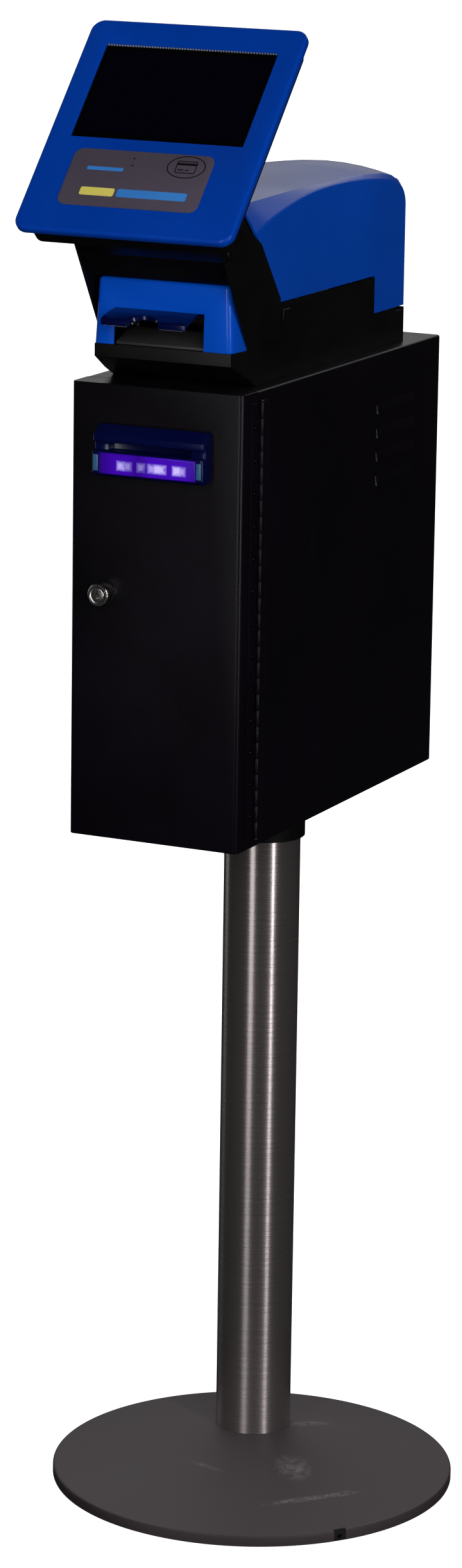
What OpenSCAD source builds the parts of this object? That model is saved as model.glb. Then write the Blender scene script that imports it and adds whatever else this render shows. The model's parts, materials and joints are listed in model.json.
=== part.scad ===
// Pole-mounted ticket vending terminal: round base, steel pole, lockable cabinet with a
// banknote reader, ticket printer head and tilting touch display.
// Origin on the pole axis at the floor, X to the right seen from the front, front towards -Y.

/* [Stand] */
// Diameter of the round base
base_d = 400; // [360:5:440]
// Thickness of the steel base plate
base_t = 11.5; // [10:0.5:14]
// Thickness of the rubber pad under the base
pad_t = 1.5; // [1:0.5:2]
// Distance from the base's centre back to the pole
pole_back = 111; // [95:1:120]
// Turn of the base under the pole, to the right of the cabinet's front
base_turn = 25; // [0:1:45]
// Outside diameter of the pole
pole_d = 76.2; // [76.2:0.1:76.2]
// Wall of the pole tube
pole_wall = 2; // [1.6:0.1:2.6]

/* [Cabinet] */
// Width of the cabinet
cab_w = 179; // [176:1:184]
// Height of the cabinet
cab_h = 439; // [430:1:450]
// Height of the cabinet's underside above the floor
cab_z = 678.3; // [640:0.1:720]
// Distance from the pole axis to the front of the door
cab_front = 246.7; // [246:0.1:248]
// Distance from the pole axis to the back of the cabinet
cab_back = 210; // [200:1:220]
// Sheet steel thickness of the cabinet and the door
sheet = 1.5; // [1.2:0.1:1.6]
// Depth of the door tray
door_d = 31; // [30:0.5:32]

/* [Head] */
// Half width of the printer housing
head_x = 75; // [75:1:75]
// Highest point of the side wall of the printer cover
cover_z = 1290; // [1286:1:1292]
// Tilt of the display panel from horizontal
panel_tilt = 47.4; // [46:0.1:49]
// Width of the display panel
panel_w = 223.7; // [220:0.1:226]
// Height of the display panel along its face
panel_h = 243.8; // [240:0.1:246]

/* [Hidden] */
$fn = 64;
eps = 0.01;
fit = 0.05;            // radial running clearance of pins and shafts

// stand
pole_r = pole_d / 2;
bore_r = pole_r - pole_wall;
plate_top = pad_t + base_t;
base_x = pole_back * sin(base_turn);
base_y = -pole_back * cos(base_turn);
notch_w = 12.6;        // cable notch in the rim
notch_turn = 51;       // to the right of straight ahead
pole_top = cab_z - 6.3;
screw_ring = 24;       // radius of the four base screws
collar_r = 42.5;
collar_low = cab_z - 42.3;

// cabinet
half = cab_w / 2;
front = -cab_front;
cab_top = cab_z + cab_h;
door_back = front + door_d;
shell_front = door_back + 1.2;
lip = 10;
floor_top = cab_z + sheet;
hinge_x = half + 2.5;
hinge_y = door_back + 4.7;
knuckle_r = 2.4;
pin_r = 1.2;
leaf_t = 1.2;
knuckle = 15.5;
knuckles = 27;
hinge_low = cab_z + (cab_h - knuckles * knuckle) / 2;
louvre_z = [-55.3, -79.3, -102.3, -126.3];
louvre_y = 102;
louvre_len = 92;

// lock and banknote reader
lock_x = -53;
lock_z = cab_z + 239.4;
plug_r = 6.5;
slot_z = cab_z + 382;
slot_w = 86;

// printer head
head_low = cab_top + 0.1;
wall = 2.5;
lip_top = 1153;
mouth_l = -51;
mouth_r = 42.5;
mouth_top = 1187.9;
tilt_y = -256;
tilt_z = 1250;
platen = [-185, 1178];
idler_at = [platen[0] + 19.1, platen[1] - 19.1];
pinion_at = [idler_at[0] + 19.73, idler_at[1] - 7.18];
roll_at = [60, 1206];
roll_r = 50;
cover_pin = [142, 1160];
apex_y = -23;
crown = 8;

// display
panel_y = -245.6;
panel_z = 1358.5;
window_w = 177.7;
window_h = 108.3;
window_up = 39.7;
frame_t = 8;
shell_t = 20;
back_w = panel_w - 21;
back_h = panel_h - 10.6;

// ---- helpers ----
module prism_x(points, x0, x1) {
    translate([x0, 0, 0]) rotate([90, 0, 90]) linear_extrude(x1 - x0) polygon(points);
}
module block(a, b) { translate(a) cube(b - a); }
module rrect(w, h, r) {
    square([w - 2 * r, h], center = true);
    square([w, h - 2 * r], center = true);
    for (x = [-1, 1], y = [-1, 1]) translate([x * (w / 2 - r), y * (h / 2 - r)]) circle(r);
}
module rod_x(r, x0, x1, at) { translate([x0, at[0], at[1]]) rotate([0, 90, 0]) cylinder(r = r, h = x1 - x0); }
module rod_y(r, y0, y1, at) { translate([at[0], y0, at[1]]) rotate([-90, 0, 0]) cylinder(r = r, h = y1 - y0); }
module pan_screw(r, len, head_r, head_h) {
    translate([0, 0, -len]) cylinder(r = r, h = len + eps, $fn = 24);
    difference() {
        cylinder(r = head_r, h = head_h, $fn = 32);
        translate([0, 0, head_h]) for (a = [0, 90]) rotate(a) cube([head_r * 1.1, head_r * 0.3, head_h], center = true);
    }
}
function arc(c, r, a0, a1, n) = [for (i = [0:n]) c + r * [cos(a0 + (a1 - a0) * i / n), sin(a0 + (a1 - a0) * i / n)]];
module gear(teeth, thick, phase) {
    pitch = 360 / teeth;
    r = teeth / 2;
    linear_extrude(thick) rotate(phase) polygon([for (i = [0:teeth - 1]) each [
        (r - 1.2) * [cos((i - 0.3) * pitch), sin((i - 0.3) * pitch)],
        r * [cos((i - 0.205) * pitch), sin((i - 0.205) * pitch)],
        (r + 0.85) * [cos((i - 0.09) * pitch), sin((i - 0.09) * pitch)],
        (r + 0.85) * [cos((i + 0.09) * pitch), sin((i + 0.09) * pitch)],
        r * [cos((i + 0.205) * pitch), sin((i + 0.205) * pitch)],
        (r - 1.2) * [cos((i + 0.3) * pitch), sin((i + 0.3) * pitch)]]]);
}
// a gear lying in the YZ plane, teeth counted from +Y
module gear_x(teeth, x0, thick, at, phase) {
    translate([x0, at[0], at[1]]) rotate([90, 0, 90]) gear(teeth, thick, phase);
}
module at_base() { translate([base_x, base_y, 0]) rotate(base_turn - 90) children(); }
module at_panel() { translate([0, panel_y, panel_z]) rotate([panel_tilt, 0, 0]) children(); }

// ---- stand ----
module notch(grow) {
    rotate(notch_turn - base_turn) translate([base_d / 2 - 10, -notch_w / 2 - grow, -1])
        cube([20, notch_w + 2 * grow, 30]);
}
module cable_slot(z0, z1) {
    // channel under the plate from the pole to the rim notch
    hull() {
        translate([0, 0, z0]) cylinder(r = 5, h = z1 - z0, $fn = 24);
        translate([base_x + (base_d / 2 - 9) * cos(notch_turn - 90), base_y + (base_d / 2 - 9) * sin(notch_turn - 90), z0])
            cylinder(r = 5, h = z1 - z0, $fn = 24);
    }
}
module base_plate() {
    color("dimgray") difference() {
        translate([base_x, base_y, pad_t]) rotate_extrude($fn = 180) polygon(concat([[0, 0], [base_d / 2 - 1, 0], [base_d / 2, 1]],
            arc([base_d / 2 - 3, base_t - 3], 3, 0, 90, 6), [[0, base_t]]));
        at_base() notch(0);
        cable_slot(pad_t - 1, pad_t + 7);
        translate([0, 0, -1]) cylinder(r = 13, h = 30);
        for (a = [45:90:315]) rotate(a) translate([screw_ring, 0, 0]) {
            translate([0, 0, -1]) cylinder(r = 4.2, h = 30);
            translate([0, 0, pad_t - eps]) cylinder(r1 = 8.6, r2 = 4.2, h = 4.4);
        }
    }
}
module base_pad() {
    color("black") difference() {
        translate([base_x, base_y, 0]) cylinder(r = base_d / 2 - 5, h = pad_t, $fn = 120);
        at_base() notch(3);
    }
}
module cable_grommet() {
    color([0.05, 0.05, 0.05]) intersection() {
        at_base() difference() {
            rotate(notch_turn - base_turn) translate([base_d / 2 - 9.9, -notch_w / 2 + 0.1, pad_t])
                cube([9, notch_w - 0.2, base_t - 1]);
            rotate(notch_turn - base_turn) translate([base_d / 2 - 20, 0, pad_t + 4]) rotate([0, 90, 0])
                cylinder(r = 2.6, h = 40, $fn = 32);
        }
        translate([base_x, base_y, 0]) cylinder(r = base_d / 2 - 1, h = 30, $fn = 180);
    }
}
module base_screws() {
    color("silver") for (a = [45:90:315]) rotate(a) translate([screw_ring, 0, 0]) difference() {
        union() {
            translate([0, 0, pad_t + 0.2]) cylinder(r1 = 8.2, r2 = 4 - fit, h = 4.1);
            translate([0, 0, pad_t + 4.2]) cylinder(r = 4 - fit, h = 26);
        }
        translate([0, 0, pad_t]) cylinder(r = 3.1, h = 3.2, $fn = 6);
    }
}
module pole_plug() {
    color("gray") translate([0, 0, plate_top]) difference() {
        cylinder(r = bore_r - fit, h = 30);
        translate([0, 0, -1]) cylinder(r = 12, h = 40);
        for (a = [45:90:315]) rotate(a) translate([screw_ring, 0, -1]) cylinder(r = 4, h = 40);
    }
}
module pole_tube() {
    color("silver") translate([0, 0, plate_top]) difference() {
        cylinder(r = pole_r, h = pole_top - plate_top, $fn = 128);
        translate([0, 0, -1]) cylinder(r = bore_r, h = pole_top, $fn = 128);
    }
}
module pole_cap() {
    color("ivory") translate([0, 0, pole_top]) difference() {
        union() {
            translate([0, 0, -20]) cylinder(r = bore_r - fit, h = 20 + eps);
            cylinder(r = pole_r, h = 5.9);
        }
        translate([0, 0, -30]) cylinder(r = 12, h = 60);
    }
}
module swivel_collar() {
    flange = 60;
    color([0.06, 0.06, 0.06]) difference() {
        union() {
            translate([0, 0, collar_low]) cylinder(r = collar_r, h = floor_top + 5 - collar_low, $fn = 96);
            translate([0, 0, floor_top]) linear_extrude(5) rrect(2 * flange, 2 * flange, 10);
        }
        translate([0, 0, collar_low - 1]) cylinder(r = pole_r + fit, h = cab_z - collar_low + 0.7, $fn = 96);
        translate([0, 0, cab_z - 5]) cylinder(r = 14, h = 20);
        for (x = [-1, 1], y = [-1, 1]) translate([x * 48, y * 48, cab_z]) cylinder(r = 3 + fit, h = 20);
        for (a = [30:120:270]) rotate(a) translate([0, 0, cab_z - 22]) rotate([0, 90, 0]) cylinder(r = 3, h = 60);
    }
}
module collar_bolts() {
    color("silver") for (x = [-1, 1], y = [-1, 1]) translate([x * 48, y * 48, cab_z]) mirror([0, 0, 1])
        pan_screw(3, sheet + 5, 5.5, 3.2);
}
module collar_set_screws() {
    color("gray") for (a = [30:120:270]) rotate(a) translate([pole_r + 0.4, 0, cab_z - 22]) rotate([0, 90, 0]) difference() {
        cylinder(r = 3 - fit, h = 3.6, $fn = 32);
        translate([0, 0, 1.6]) cylinder(r = 1.5, h = 4, $fn = 6);
    }
}

// ---- cabinet ----
module cabinet_shell() {
    color([0.07, 0.07, 0.08]) {
        difference() {
            block([-half, shell_front, cab_z], [half, cab_back, cab_top]);
            block([-half + sheet, shell_front + sheet, floor_top], [half - sheet, cab_back - sheet, cab_top - sheet]);
            block([-half + lip, shell_front - 1, cab_z + lip], [half - lip, shell_front + 5, cab_top - lip]);
            translate([0, 0, cab_z - 1]) cylinder(r = collar_r + 0.3, h = 5);
            for (x = [-1, 1], y = [-1, 1]) translate([x * 48, y * 48, cab_z - 1]) cylinder(r = 3.3, h = 5);
            block([-30, -60, cab_top - 5], [30, -20, cab_top + 1]);
            for (dz = louvre_z, side = [-1, 1])
                block([side * (half - 3) - 4, louvre_y - louvre_len / 2 + 1.5, cab_top + dz - 3.5],
                    [side * (half - 3) + 4, louvre_y + louvre_len / 2 - 1.5, cab_top + dz + 3]);
        }
        for (dz = louvre_z, side = [-1, 1]) translate([side * half, louvre_y, cab_top + dz]) louvre_hood(side);
    }
}
module louvre_hood(side) {
    section = [[-eps, 6], [3, -2.5], [3, -4], [1.9, -4], [1.9, -2.8], [-eps, 3.1]];
    cheek = [[-eps, 6], [3, -2.5], [3, -4], [-eps, -4]];
    mirror([side < 0 ? 1 : 0, 0, 0]) {
        translate([0, louvre_len / 2, 0]) rotate([90, 0, 0]) linear_extrude(louvre_len) polygon(section);
        for (y = [-louvre_len / 2, louvre_len / 2 - 1.4])
            translate([0, y + 1.4, 0]) rotate([90, 0, 0]) linear_extrude(1.4) polygon(cheek);
    }
}
module hinge_knuckles(first) {
    difference() {
        for (i = [first:2:knuckles - 1])
            translate([hinge_x, hinge_y, hinge_low + i * knuckle + 0.2]) cylinder(r = knuckle_r, h = knuckle - 0.4, $fn = 32);
        translate([hinge_x, hinge_y, 0]) cylinder(r = pin_r + fit, h = 2000, $fn = 32);
    }
}
module hinge_tabs(first, y0, y1) {
    // straps that join a leaf to its own knuckles
    for (i = [first:2:knuckles - 1]) difference() {
        block([half, min(y0, y1), hinge_low + i * knuckle + 0.2], [half + leaf_t, max(y0, y1), hinge_low + (i + 1) * knuckle - 0.2]);
        translate([hinge_x, hinge_y, 0]) cylinder(r = pin_r + fit, h = 2000, $fn = 32);
    }
}
module cabinet_hinge_leaf() {
    color([0.09, 0.09, 0.1]) {
        hinge_knuckles(0);
        hinge_tabs(0, hinge_y, hinge_y + 4);
        block([half, hinge_y + 3, hinge_low], [half + leaf_t, hinge_y + 19, hinge_low + knuckles * knuckle]);
    }
}
module door_hinge_leaf() {
    color([0.09, 0.09, 0.1]) {
        hinge_knuckles(1);
        hinge_tabs(1, hinge_y - 4, hinge_y);
        difference() {
            block([half, hinge_y - 19, hinge_low], [half + leaf_t, hinge_y - 3, hinge_low + knuckles * knuckle]);
            hinge_screw_holes();
        }
    }
}
module hinge_pin() {
    color("silver") {
        translate([hinge_x, hinge_y, hinge_low - 1]) cylinder(r = pin_r, h = knuckles * knuckle + 2, $fn = 32);
        for (z = [hinge_low - 2, hinge_low + knuckles * knuckle + 0.5])
            translate([hinge_x, hinge_y, z]) cylinder(r = 2.3, h = 1.5, $fn = 32);
    }
}
module at_hinge_screws() {
    for (i = [0:12]) translate([half + leaf_t, hinge_y - 11, hinge_low + knuckle * (1.5 + 2 * i)])
        rotate([0, 90, 0]) children();
}
module hinge_screws() { color("silver") at_hinge_screws() pan_screw(1.4, leaf_t + sheet, 2.6, 1.1); }
module hinge_screw_holes() {
    at_hinge_screws() cylinder(r = 1.4 + fit, h = 12, center = true, $fn = 24);
}
module door() {
    color([0.08, 0.08, 0.09]) difference() {
        door_block();
        block([-half + sheet, front + sheet, cab_z + 0.8 + sheet], [half - sheet, door_back + 1, cab_top - sheet]);
        rod_y(9.6, front - 1, front + 5, [lock_x, lock_z]);
        block([-53, front - 1, slot_z - 24], [53, front + 5, slot_z + 16]);
        hinge_screw_holes();
    }
}
module door_block() {
    r = 5;
    translate([0, 0, cab_z + 0.8]) linear_extrude(cab_h - 0.8) {
        translate([-half, front + r]) square([cab_w, door_d - r]);
        translate([-half + r, front]) square([cab_w - 2 * r, door_d]);
        for (x = [-1, 1]) translate([x * (half - r), front + r]) circle(r);
    }
}
module lock_body() {
    color("silver") difference() {
        union() {
            rod_y(11, front - 15, front, [lock_x, lock_z]);
            rod_y(9.5, front - 1, front + 26, [lock_x, lock_z]);
            translate([lock_x, front + sheet, lock_z]) rotate([-90, 30, 0]) cylinder(r = 14, h = 4, $fn = 6);
        }
        rod_y(plug_r + fit, front - 16, front + 30, [lock_x, lock_z]);
    }
}
module lock_plug() {
    color("gainsboro") difference() {
        union() {
            rod_y(plug_r, front - 15, front + 37.8, [lock_x, lock_z]);
            rod_y(4, front + 37, front + 41, [lock_x, lock_z]);
        }
        block([lock_x - 0.7, front - 16, lock_z - 4.2], [lock_x + 0.7, front + 5, lock_z + 4.2]);
        rod_y(1.8, front - 16, front + 5, [lock_x, lock_z - 2]);
    }
}
module lock_cam() {
    color("gray") difference() {
        union() {
            block([lock_x - 6.5, front + 37.8, lock_z - 32], [lock_x + 6.5, front + 40.6, lock_z]);
            rod_y(9, front + 37.8, front + 40.6, [lock_x, lock_z]);
        }
        rod_y(4, front + 30, front + 50, [lock_x, lock_z]);
    }
}
module bill_bezel() {
    z = slot_z;
    color([0.04, 0.06, 0.35, 0.9]) difference() {
        union() {
            prism_x([[front, z - 28], [front - 15, z - 28], [front - 19.5, z - 24], [front - 19.5, z - 4],
                [front - 14, z - 2.5], [front - 14, z + 3.5], [front - 18, z + 5], [front - 18, z + 12],
                [front - 6, z + 20], [front, z + 20]], -58, 58);
            block([-51, front - 1, z - 22], [51, front + 8, z + 14]);
        }
        // note passage
        block([-slot_w / 2, front - 30, z - 3.2], [slot_w / 2, front + 20, z + 4]);
        // pocket for the lens and the lamps
        block([-50.5, front - 30, z - 25], [50.5, front - 4, z - 5]);
    }
}
module bezel_lens() {
    z = slot_z;
    color([0.45, 0.25, 1, 0.8]) block([-50.2, front - 19.8, z - 24.7], [50.2, front - 16.5, z - 5.3]);
}
module led_board() {
    z = slot_z;
    color("darkgreen") block([-48, front - 6.6, z - 23], [48, front - 5, z - 7]);
    color("white") for (x = [-30, -10, 10, 30]) block([x - 2.5, front - 8.6, z - 17.5], [x + 2.5, front - 6.6, z - 12.5]);
}
module equipment_bracket() {
    // folded frame that carries the banknote reader over the cash box shelf
    shelf = floor_top + 104;
    clear = floor_top + 6;     // passes over the collar's flange
    x = 61;
    color("gainsboro") {
        block([-x - 2, -46, clear], [x + 2, -44, slot_z + 10]);
        block([-x - 2, -202, shelf], [x + 2, -45.9, shelf + 2]);
        for (side = [-1, 1]) mirror([side < 0 ? 1 : 0, 0, 0]) {
            difference() {
                union() {
                    block([x, -202, floor_top], [x + 2, -62, shelf + 2]);
                    block([x, -62.1, clear], [x + 2, -44, shelf + 2]);
                }
                block([x - 1, -180, floor_top + 30], [x + 3, -80, floor_top + 80]);
            }
            block([x, -200, floor_top], [x + 16, -64, floor_top + 2]);
        }
    }
}
module bill_validator() {
    z = slot_z;
    color([0.12, 0.12, 0.13]) difference() {
        union() {
            block([-52, -204, z - 44], [52, -47, z + 30]);
            block([-46, -209, z - 12], [46, -203, z + 12]);
        }
        block([-slot_w / 2, -215, z - 3.2], [slot_w / 2, -70, z + 4]);
    }
}
module cash_box() {
    z0 = floor_top + 107;
    z1 = slot_z - 46;
    color([0.3, 0.31, 0.33]) difference() {
        block([-50, -200, z0], [50, -50, z1]);
        block([-47, -197, z0 + 3], [47, -53, z1 - 3]);
        block([-slot_w / 2, -110, z1 - 10], [slot_w / 2, -90, z1 + 1]);
        // wells for the handle's pivots
        for (x = [-1, 1]) rod_x(2 + fit, x * 36 - 3, x * 36 + 3, [-199.9, z1 - 30]);
    }
    color([0.3, 0.31, 0.33]) for (x = [-1, 1]) difference() {
        block([x * 40 - 1.5, -206, z1 - 34], [x * 40 + 1.5, -199.9, z1 - 26]);
        rod_x(2 + fit, x * 40 - 5, x * 40 + 5, [-203, z1 - 30]);
    }
}
module cash_box_handle() {
    z = slot_z - 76;
    color("silver") {
        rod_x(2, -43, -34, [-203, z]);
        rod_x(2, 34, 43, [-203, z]);
        for (x = [-1, 1]) translate([x * 35, -203, z - 26]) cylinder(r = 2, h = 26, $fn = 32);
        rod_x(2, -37, 37, [-203, z - 26]);
    }
}
module power_supply() {
    color("lightgray") difference() {
        block([-60, 75, floor_top + 8], [60, 185, floor_top + 56]);
        for (i = [0:7]) block([-44 + i * 12, 90, floor_top + 53], [-38 + i * 12, 170, floor_top + 60]);
    }
    color("gray") for (x = [-50, 50], y = [85, 175]) translate([x, y, floor_top]) cylinder(r = 5, h = 8, $fn = 32);
}
module controller_board() {
    color("darkgreen") block([-62, 198, 860], [62, 199.6, 1040]);
    color("silver") for (x = [-55, 55], z = [870, 1030]) rod_y(3, 199.6, cab_back - sheet, [x, z]);
    color("black") {
        block([-30, 190, 930], [30, 198, 990]);
        for (x = [-50, -34, -18]) block([x, 184, 1005], [x + 12, 198, 1028]);
    }
}

// ---- printer head ----
module head_base() {
    chin = -236.5;
    color([0.06, 0.06, 0.07]) {
        difference() {
            intersection() {
                prism_x([[150, head_low], [-190, head_low], [chin, 1141], [chin, lip_top], [-210, lip_top],
                    [-210, 1189], [78, 1189], [78, 1153.2], [131, 1153.2], [131, 1149.2], [150, 1149.2]], -head_x, head_x);
                // the lip under the mouth narrows towards the front
                linear_extrude(1300) polygon([[-head_x, 160], [-head_x, -208], [-71, chin], [-71, chin - 1],
                    [71, chin - 1], [71, chin], [head_x, -208], [head_x, 160]]);
            }
            prism_x([[150 - wall, head_low + wall], [-189.2, head_low + wall], [-225, 1142], [-210 + wall, 1142],
                [-210 + wall, 1200], [150 - wall, 1200]], -head_x + wall, head_x - wall);
            block([mouth_l, -220, lip_top + 0.1], [mouth_r, -200, 1200]);
            // wells of the cover release buttons
            for (x = [-1, 1]) block([x * head_x - 5, -138, 1172], [x * head_x + 5, -122, 1184]);
            block([-28, -62, head_low - 1], [28, -18, head_low + 5]);
        }
        // low rim inside the cover's lower edge
        for (x = [-1, 1]) block([x * 71 - 1.2, 74, 1140], [x * 71 + 1.2, 137.6, 1158]);
        for (x = [-1, 1]) block([x * 72 - 1.2, 74, 1140], [x * 72 + 1.2, 147.6, 1149]);
        block([-72, 135.6, head_low + 2], [72, 137.6, 1158]);
        // thin rear rim that hides the seam, clear of the cover's swing
        block([-head_x, 149, 1149], [head_x, 150, 1151.8]);
        for (x = [-1, 1]) difference() {
            union() {
                block([x * 40.5 - 2.5, 137.8, 1136], [x * 40.5 + 2.5, 148.5, 1149]);
                block([x * 40.5 - 2.5, 137.8, 1148], [x * 40.5 + 2.5, 146.2, cover_pin[1]]);
                rod_x(4.2, x * 40.5 - 2.5, x * 40.5 + 2.5, cover_pin);
            }
            rod_x(2, x * 40.5 - 4, x * 40.5 + 4, cover_pin);
        }
    }
}
module neck_housing() {
    cheek = [[-212, 1157], [-276, 1262], [-262, 1272], [-226, 1279], [-213, 1266.5], [-186, 1250.5],
        [-142.5, 1194.5], [-142.5, 1157]];
    color([0.05, 0.05, 0.06]) {
        for (x = [-head_x - 2, head_x]) difference() {
            prism_x(cheek, x, x + 2);
            rod_x(4, x - 1, x + 3, [tilt_y, tilt_z]);
        }
        // recessed front panel and the bridge behind it
        difference() {
            prism_x([[-236, 1217.5], [-249.2, 1239], [-246.2, 1241], [-231.5, 1217.5]], -head_x - eps, head_x + eps);
            at_neck_screws() cylinder(r = 1.8 + fit, h = 12, center = true, $fn = 24);
        }
        prism_x([[-231.6, 1217.5], [-207, 1217.5], [-207, 1220.5], [-231.6, 1220.5]], -head_x - eps, head_x + eps);
    }
}
module at_neck_screws() {
    for (x = [-62, -46, 46, 62]) translate([x, -242.8, 1228.5]) rotate([121.5, 0, 0]) children();
}
module neck_screws() { color("silver") at_neck_screws() pan_screw(1.8, 2.4, 3.4, 1.9); }
module mouth_bezel() {
    color([0.0, 0.2, 0.62]) difference() {
        bezel_block(0, 0);
        bezel_block(wall, 1);
        block([mouth_l, -250, lip_top - 2], [mouth_r, -200, mouth_top]);
    }
}
module bezel_block(t, open) {
    // blunt wedge, wider below and behind; t insets every wall and open runs it out at the back and below
    low = lip_top + 0.2 - open;
    hull() {
        bezel_slice(t, open, low, 71, 74.6, 0);
        bezel_slice(t, open, 1212 - t, 68.2, 72.7, 0);
        bezel_slice(t, open, 1216 - t - eps, 68, 72.5, 3.5);
    }
}
module bezel_slice(t, open, z, front_half, back_half, back) {
    translate([0, 0, z]) linear_extrude(eps) polygon([[-back_half + t, -210.5 + open], [-front_half + t, -237 + t + back],
        [front_half - t, -237 + t + back], [back_half - t, -210.5 + open]]);
}
module visor() {
    color([0.02, 0.04, 0.16, 0.8]) prism_x([[-228, 1187.8], [-237, 1187.8], [-265, 1181.5], [-265.5, 1175.5], [-263, 1175.5],
        [-262, 1179], [-237, 1185], [-228, 1185]], -50, 37);
}
module ticket_tray() {
    color([0.2, 0.2, 0.21]) prism_x([[-233.5, lip_top + 0.3], [-233.5, 1156], [-204, 1166], [-196, 1166], [-196, 1163.5],
        [-203.5, 1163.5], [-229, 1154.8], [-229, lip_top + 0.3]], mouth_l + 1, mouth_r - 1);
}
module printer_chassis() {
    z = head_low + wall;
    color("silver") {
        for (x = [-49, 46.5]) difference() {
            prism_x([[-184, z], [-194, 1127.5], [-194, 1168], [-206, 1168], [-206, 1205], [-126, 1205], [-126, z]],
                x, x + 2.5);
            rod_x(3 + fit, x - 1, x + 4, platen);
            if (x > 0) rod_x(5, x - 1, x + 4, pinion_at);
            block([x - 1, -160, 1176], [x + 4, -125, 1210]);
        }
        block([-46.6, -184, z], [46.6, -126, z + 2.5]);
        rod_x(2.5, 48.9, 56, idler_at);
    }
}
module print_head() {
    color([0.75, 0.75, 0.78]) {
        block([-46.4, -190, 1186.7], [46.4, -171, 1190.5]);
        for (i = [0:5]) block([-46.4, -189 + i * 3.2, 1190.4], [46.4, -187.6 + i * 3.2, 1199]);
    }
}
module cutter() {
    color("gainsboro") {
        block([-46.4, -205, 1189.5], [46.4, -197, 1200]);
        translate([0, -203.6, 1189.6]) rotate([90, 0, 0]) linear_extrude(1.2)
            polygon(concat([[-43, 0]], [for (i = [0:42]) each [[-43 + 2 * i, -1.6], [-42 + 2 * i, -3]]], [[43, 0]]));
    }
}
module feed_motor() {
    color([0.25, 0.25, 0.27]) {
        rod_x(17.5, 14, 46.4, pinion_at);
        rod_x(4.8, 46.3, 49.6, pinion_at);
    }
}
module motor_pinion() {
    color("goldenrod") {
        gear_x(12, 50.5, 5, pinion_at, 160 + 17.5);
        rod_x(1.5, 49.8, 50.6, pinion_at);
    }
}
module idler_gear() {
    color("ivory") difference() {
        gear_x(30, 50.5, 5, idler_at, 135);
        rod_x(2.5 + fit, 50, 56, idler_at);
    }
}
module platen_gear() {
    color("ivory") difference() {
        gear_x(24, 50.5, 5, platen, -45 + 7.5);
        rod_x(3, 50, 56, platen);
    }
}
module platen_shaft() { color("silver") rod_x(3, -51.5, 56.5, platen); }
module platen_roller() {
    color([0.1, 0.1, 0.1]) difference() {
        rod_x(8, -42, 42, platen);
        rod_x(3, -43, 43, platen);
    }
}
module roll_bracket() {
    z = head_low + wall;
    color([0.2, 0.2, 0.22]) for (x = [-48.5, 45.5]) difference() {
        union() {
            block([x, roll_at[0] - 18, z], [x + 3, roll_at[0] + 18, roll_at[1]]);
            rod_x(18, x, x + 3, roll_at);
            block([x - (x < 0 ? 12 : 0), roll_at[0] - 18, z], [x + (x < 0 ? 3 : 15), roll_at[0] + 18, z + 3]);
        }
        rod_x(8, x - 1, x + 4, roll_at);
    }
}
module roll_spindle() { color("gray") rod_x(8, -50, 50, roll_at); }
module paper_roll() {
    color("white") difference() {
        rod_x(roll_r, -40, 40, roll_at);
        rod_x(8 + fit, -41, 41, roll_at);
    }
}
module paper_web() {
    // leaves the underside of the roll as a tangent and runs flat over the platen
    gap = 0.5;
    web = 0.2;
    bend = [-165, platen[1] + 8.35];
    v = roll_at - bend;
    turn = atan2(v[1], v[0]) - asin((roll_r + gap) / norm(v));
    leave = bend + sqrt(v * v - pow(roll_r + gap, 2)) * [cos(turn), sin(turn)];
    color("white") prism_x([leave, bend, [-186, bend[1]], [-186, bend[1] + web], bend + [0, web], leave + [0, web]],
        -39.5, 39.5);
}
// side view of the printer cover: t insets it, up raises its back and crown
function cover_side(t, up) = concat(
    [[150 - t, 1153.5 - 20 * t]],
    arc([128, cover_z - 37 + up], 22 - t, 0, 78, 6),
    [for (i = [1:6]) let (y = 120 - i * (120 - apex_y) / 6) [y, cover_z - t + up - pow(y - apex_y, 2) / 1800]],
    [for (i = [1:7]) let (y = apex_y - i * (193 + apex_y) / 7) [y, cover_z - t + up - pow(y - apex_y, 2) / 970]],
    [[-141 + t, 1190 - 8 * t]]);
module cover_form(t) {
    hull() {
        prism_x(cover_side(t, 0), -head_x + t, head_x - t);
        prism_x(cover_side(t, crown), -54 + t, 54 - t);
    }
}
module rear_cover() {
    color([0.0, 0.2, 0.6]) {
        difference() {
            cover_form(0);
            cover_form(wall);
            block([-90, -230, 1100], [90, 79.5, 1190.5]);
            block([-90, 70, 1100], [90, 160, 1153.5]);
            prism_x([[-250, 1100], [-250, 1300], [-194, 1261], [-141, 1192], [-141, 1100]], -90, 90);
            // room for the hinge lugs of the base
            for (x = [-1, 1]) block([x * 40.5 - 4, 130, 1140], [x * 40.5 + 4, 160, 1166]);
        }
        for (x = [-1, 1]) difference() {
            union() {
                rod_x(4, x * 33 - 3, x * 33 + 3, cover_pin);
                block([x * 33 - 3, cover_pin[0], cover_pin[1] - 4], [x * 33 + 3, 148, cover_pin[1] + 4]);
            }
            rod_x(2 + fit, x * 33 - 5, x * 33 + 5, cover_pin);
        }
    }
}
module cover_hinge_pin() { color("silver") rod_x(2, -45, 45, cover_pin); }
module release_button(side) {
    color([0.12, 0.12, 0.13]) mirror([side < 0 ? 1 : 0, 0, 0]) {
        block([head_x - 4, -137.6, 1172.4], [head_x + 3, -122.4, 1183.6]);
        block([head_x - 5.5, -140, 1170], [head_x - 3.9, -120, 1186]);
    }
}
module release_button_right() { release_button(1); }
module release_button_left() { release_button(-1); }

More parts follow.
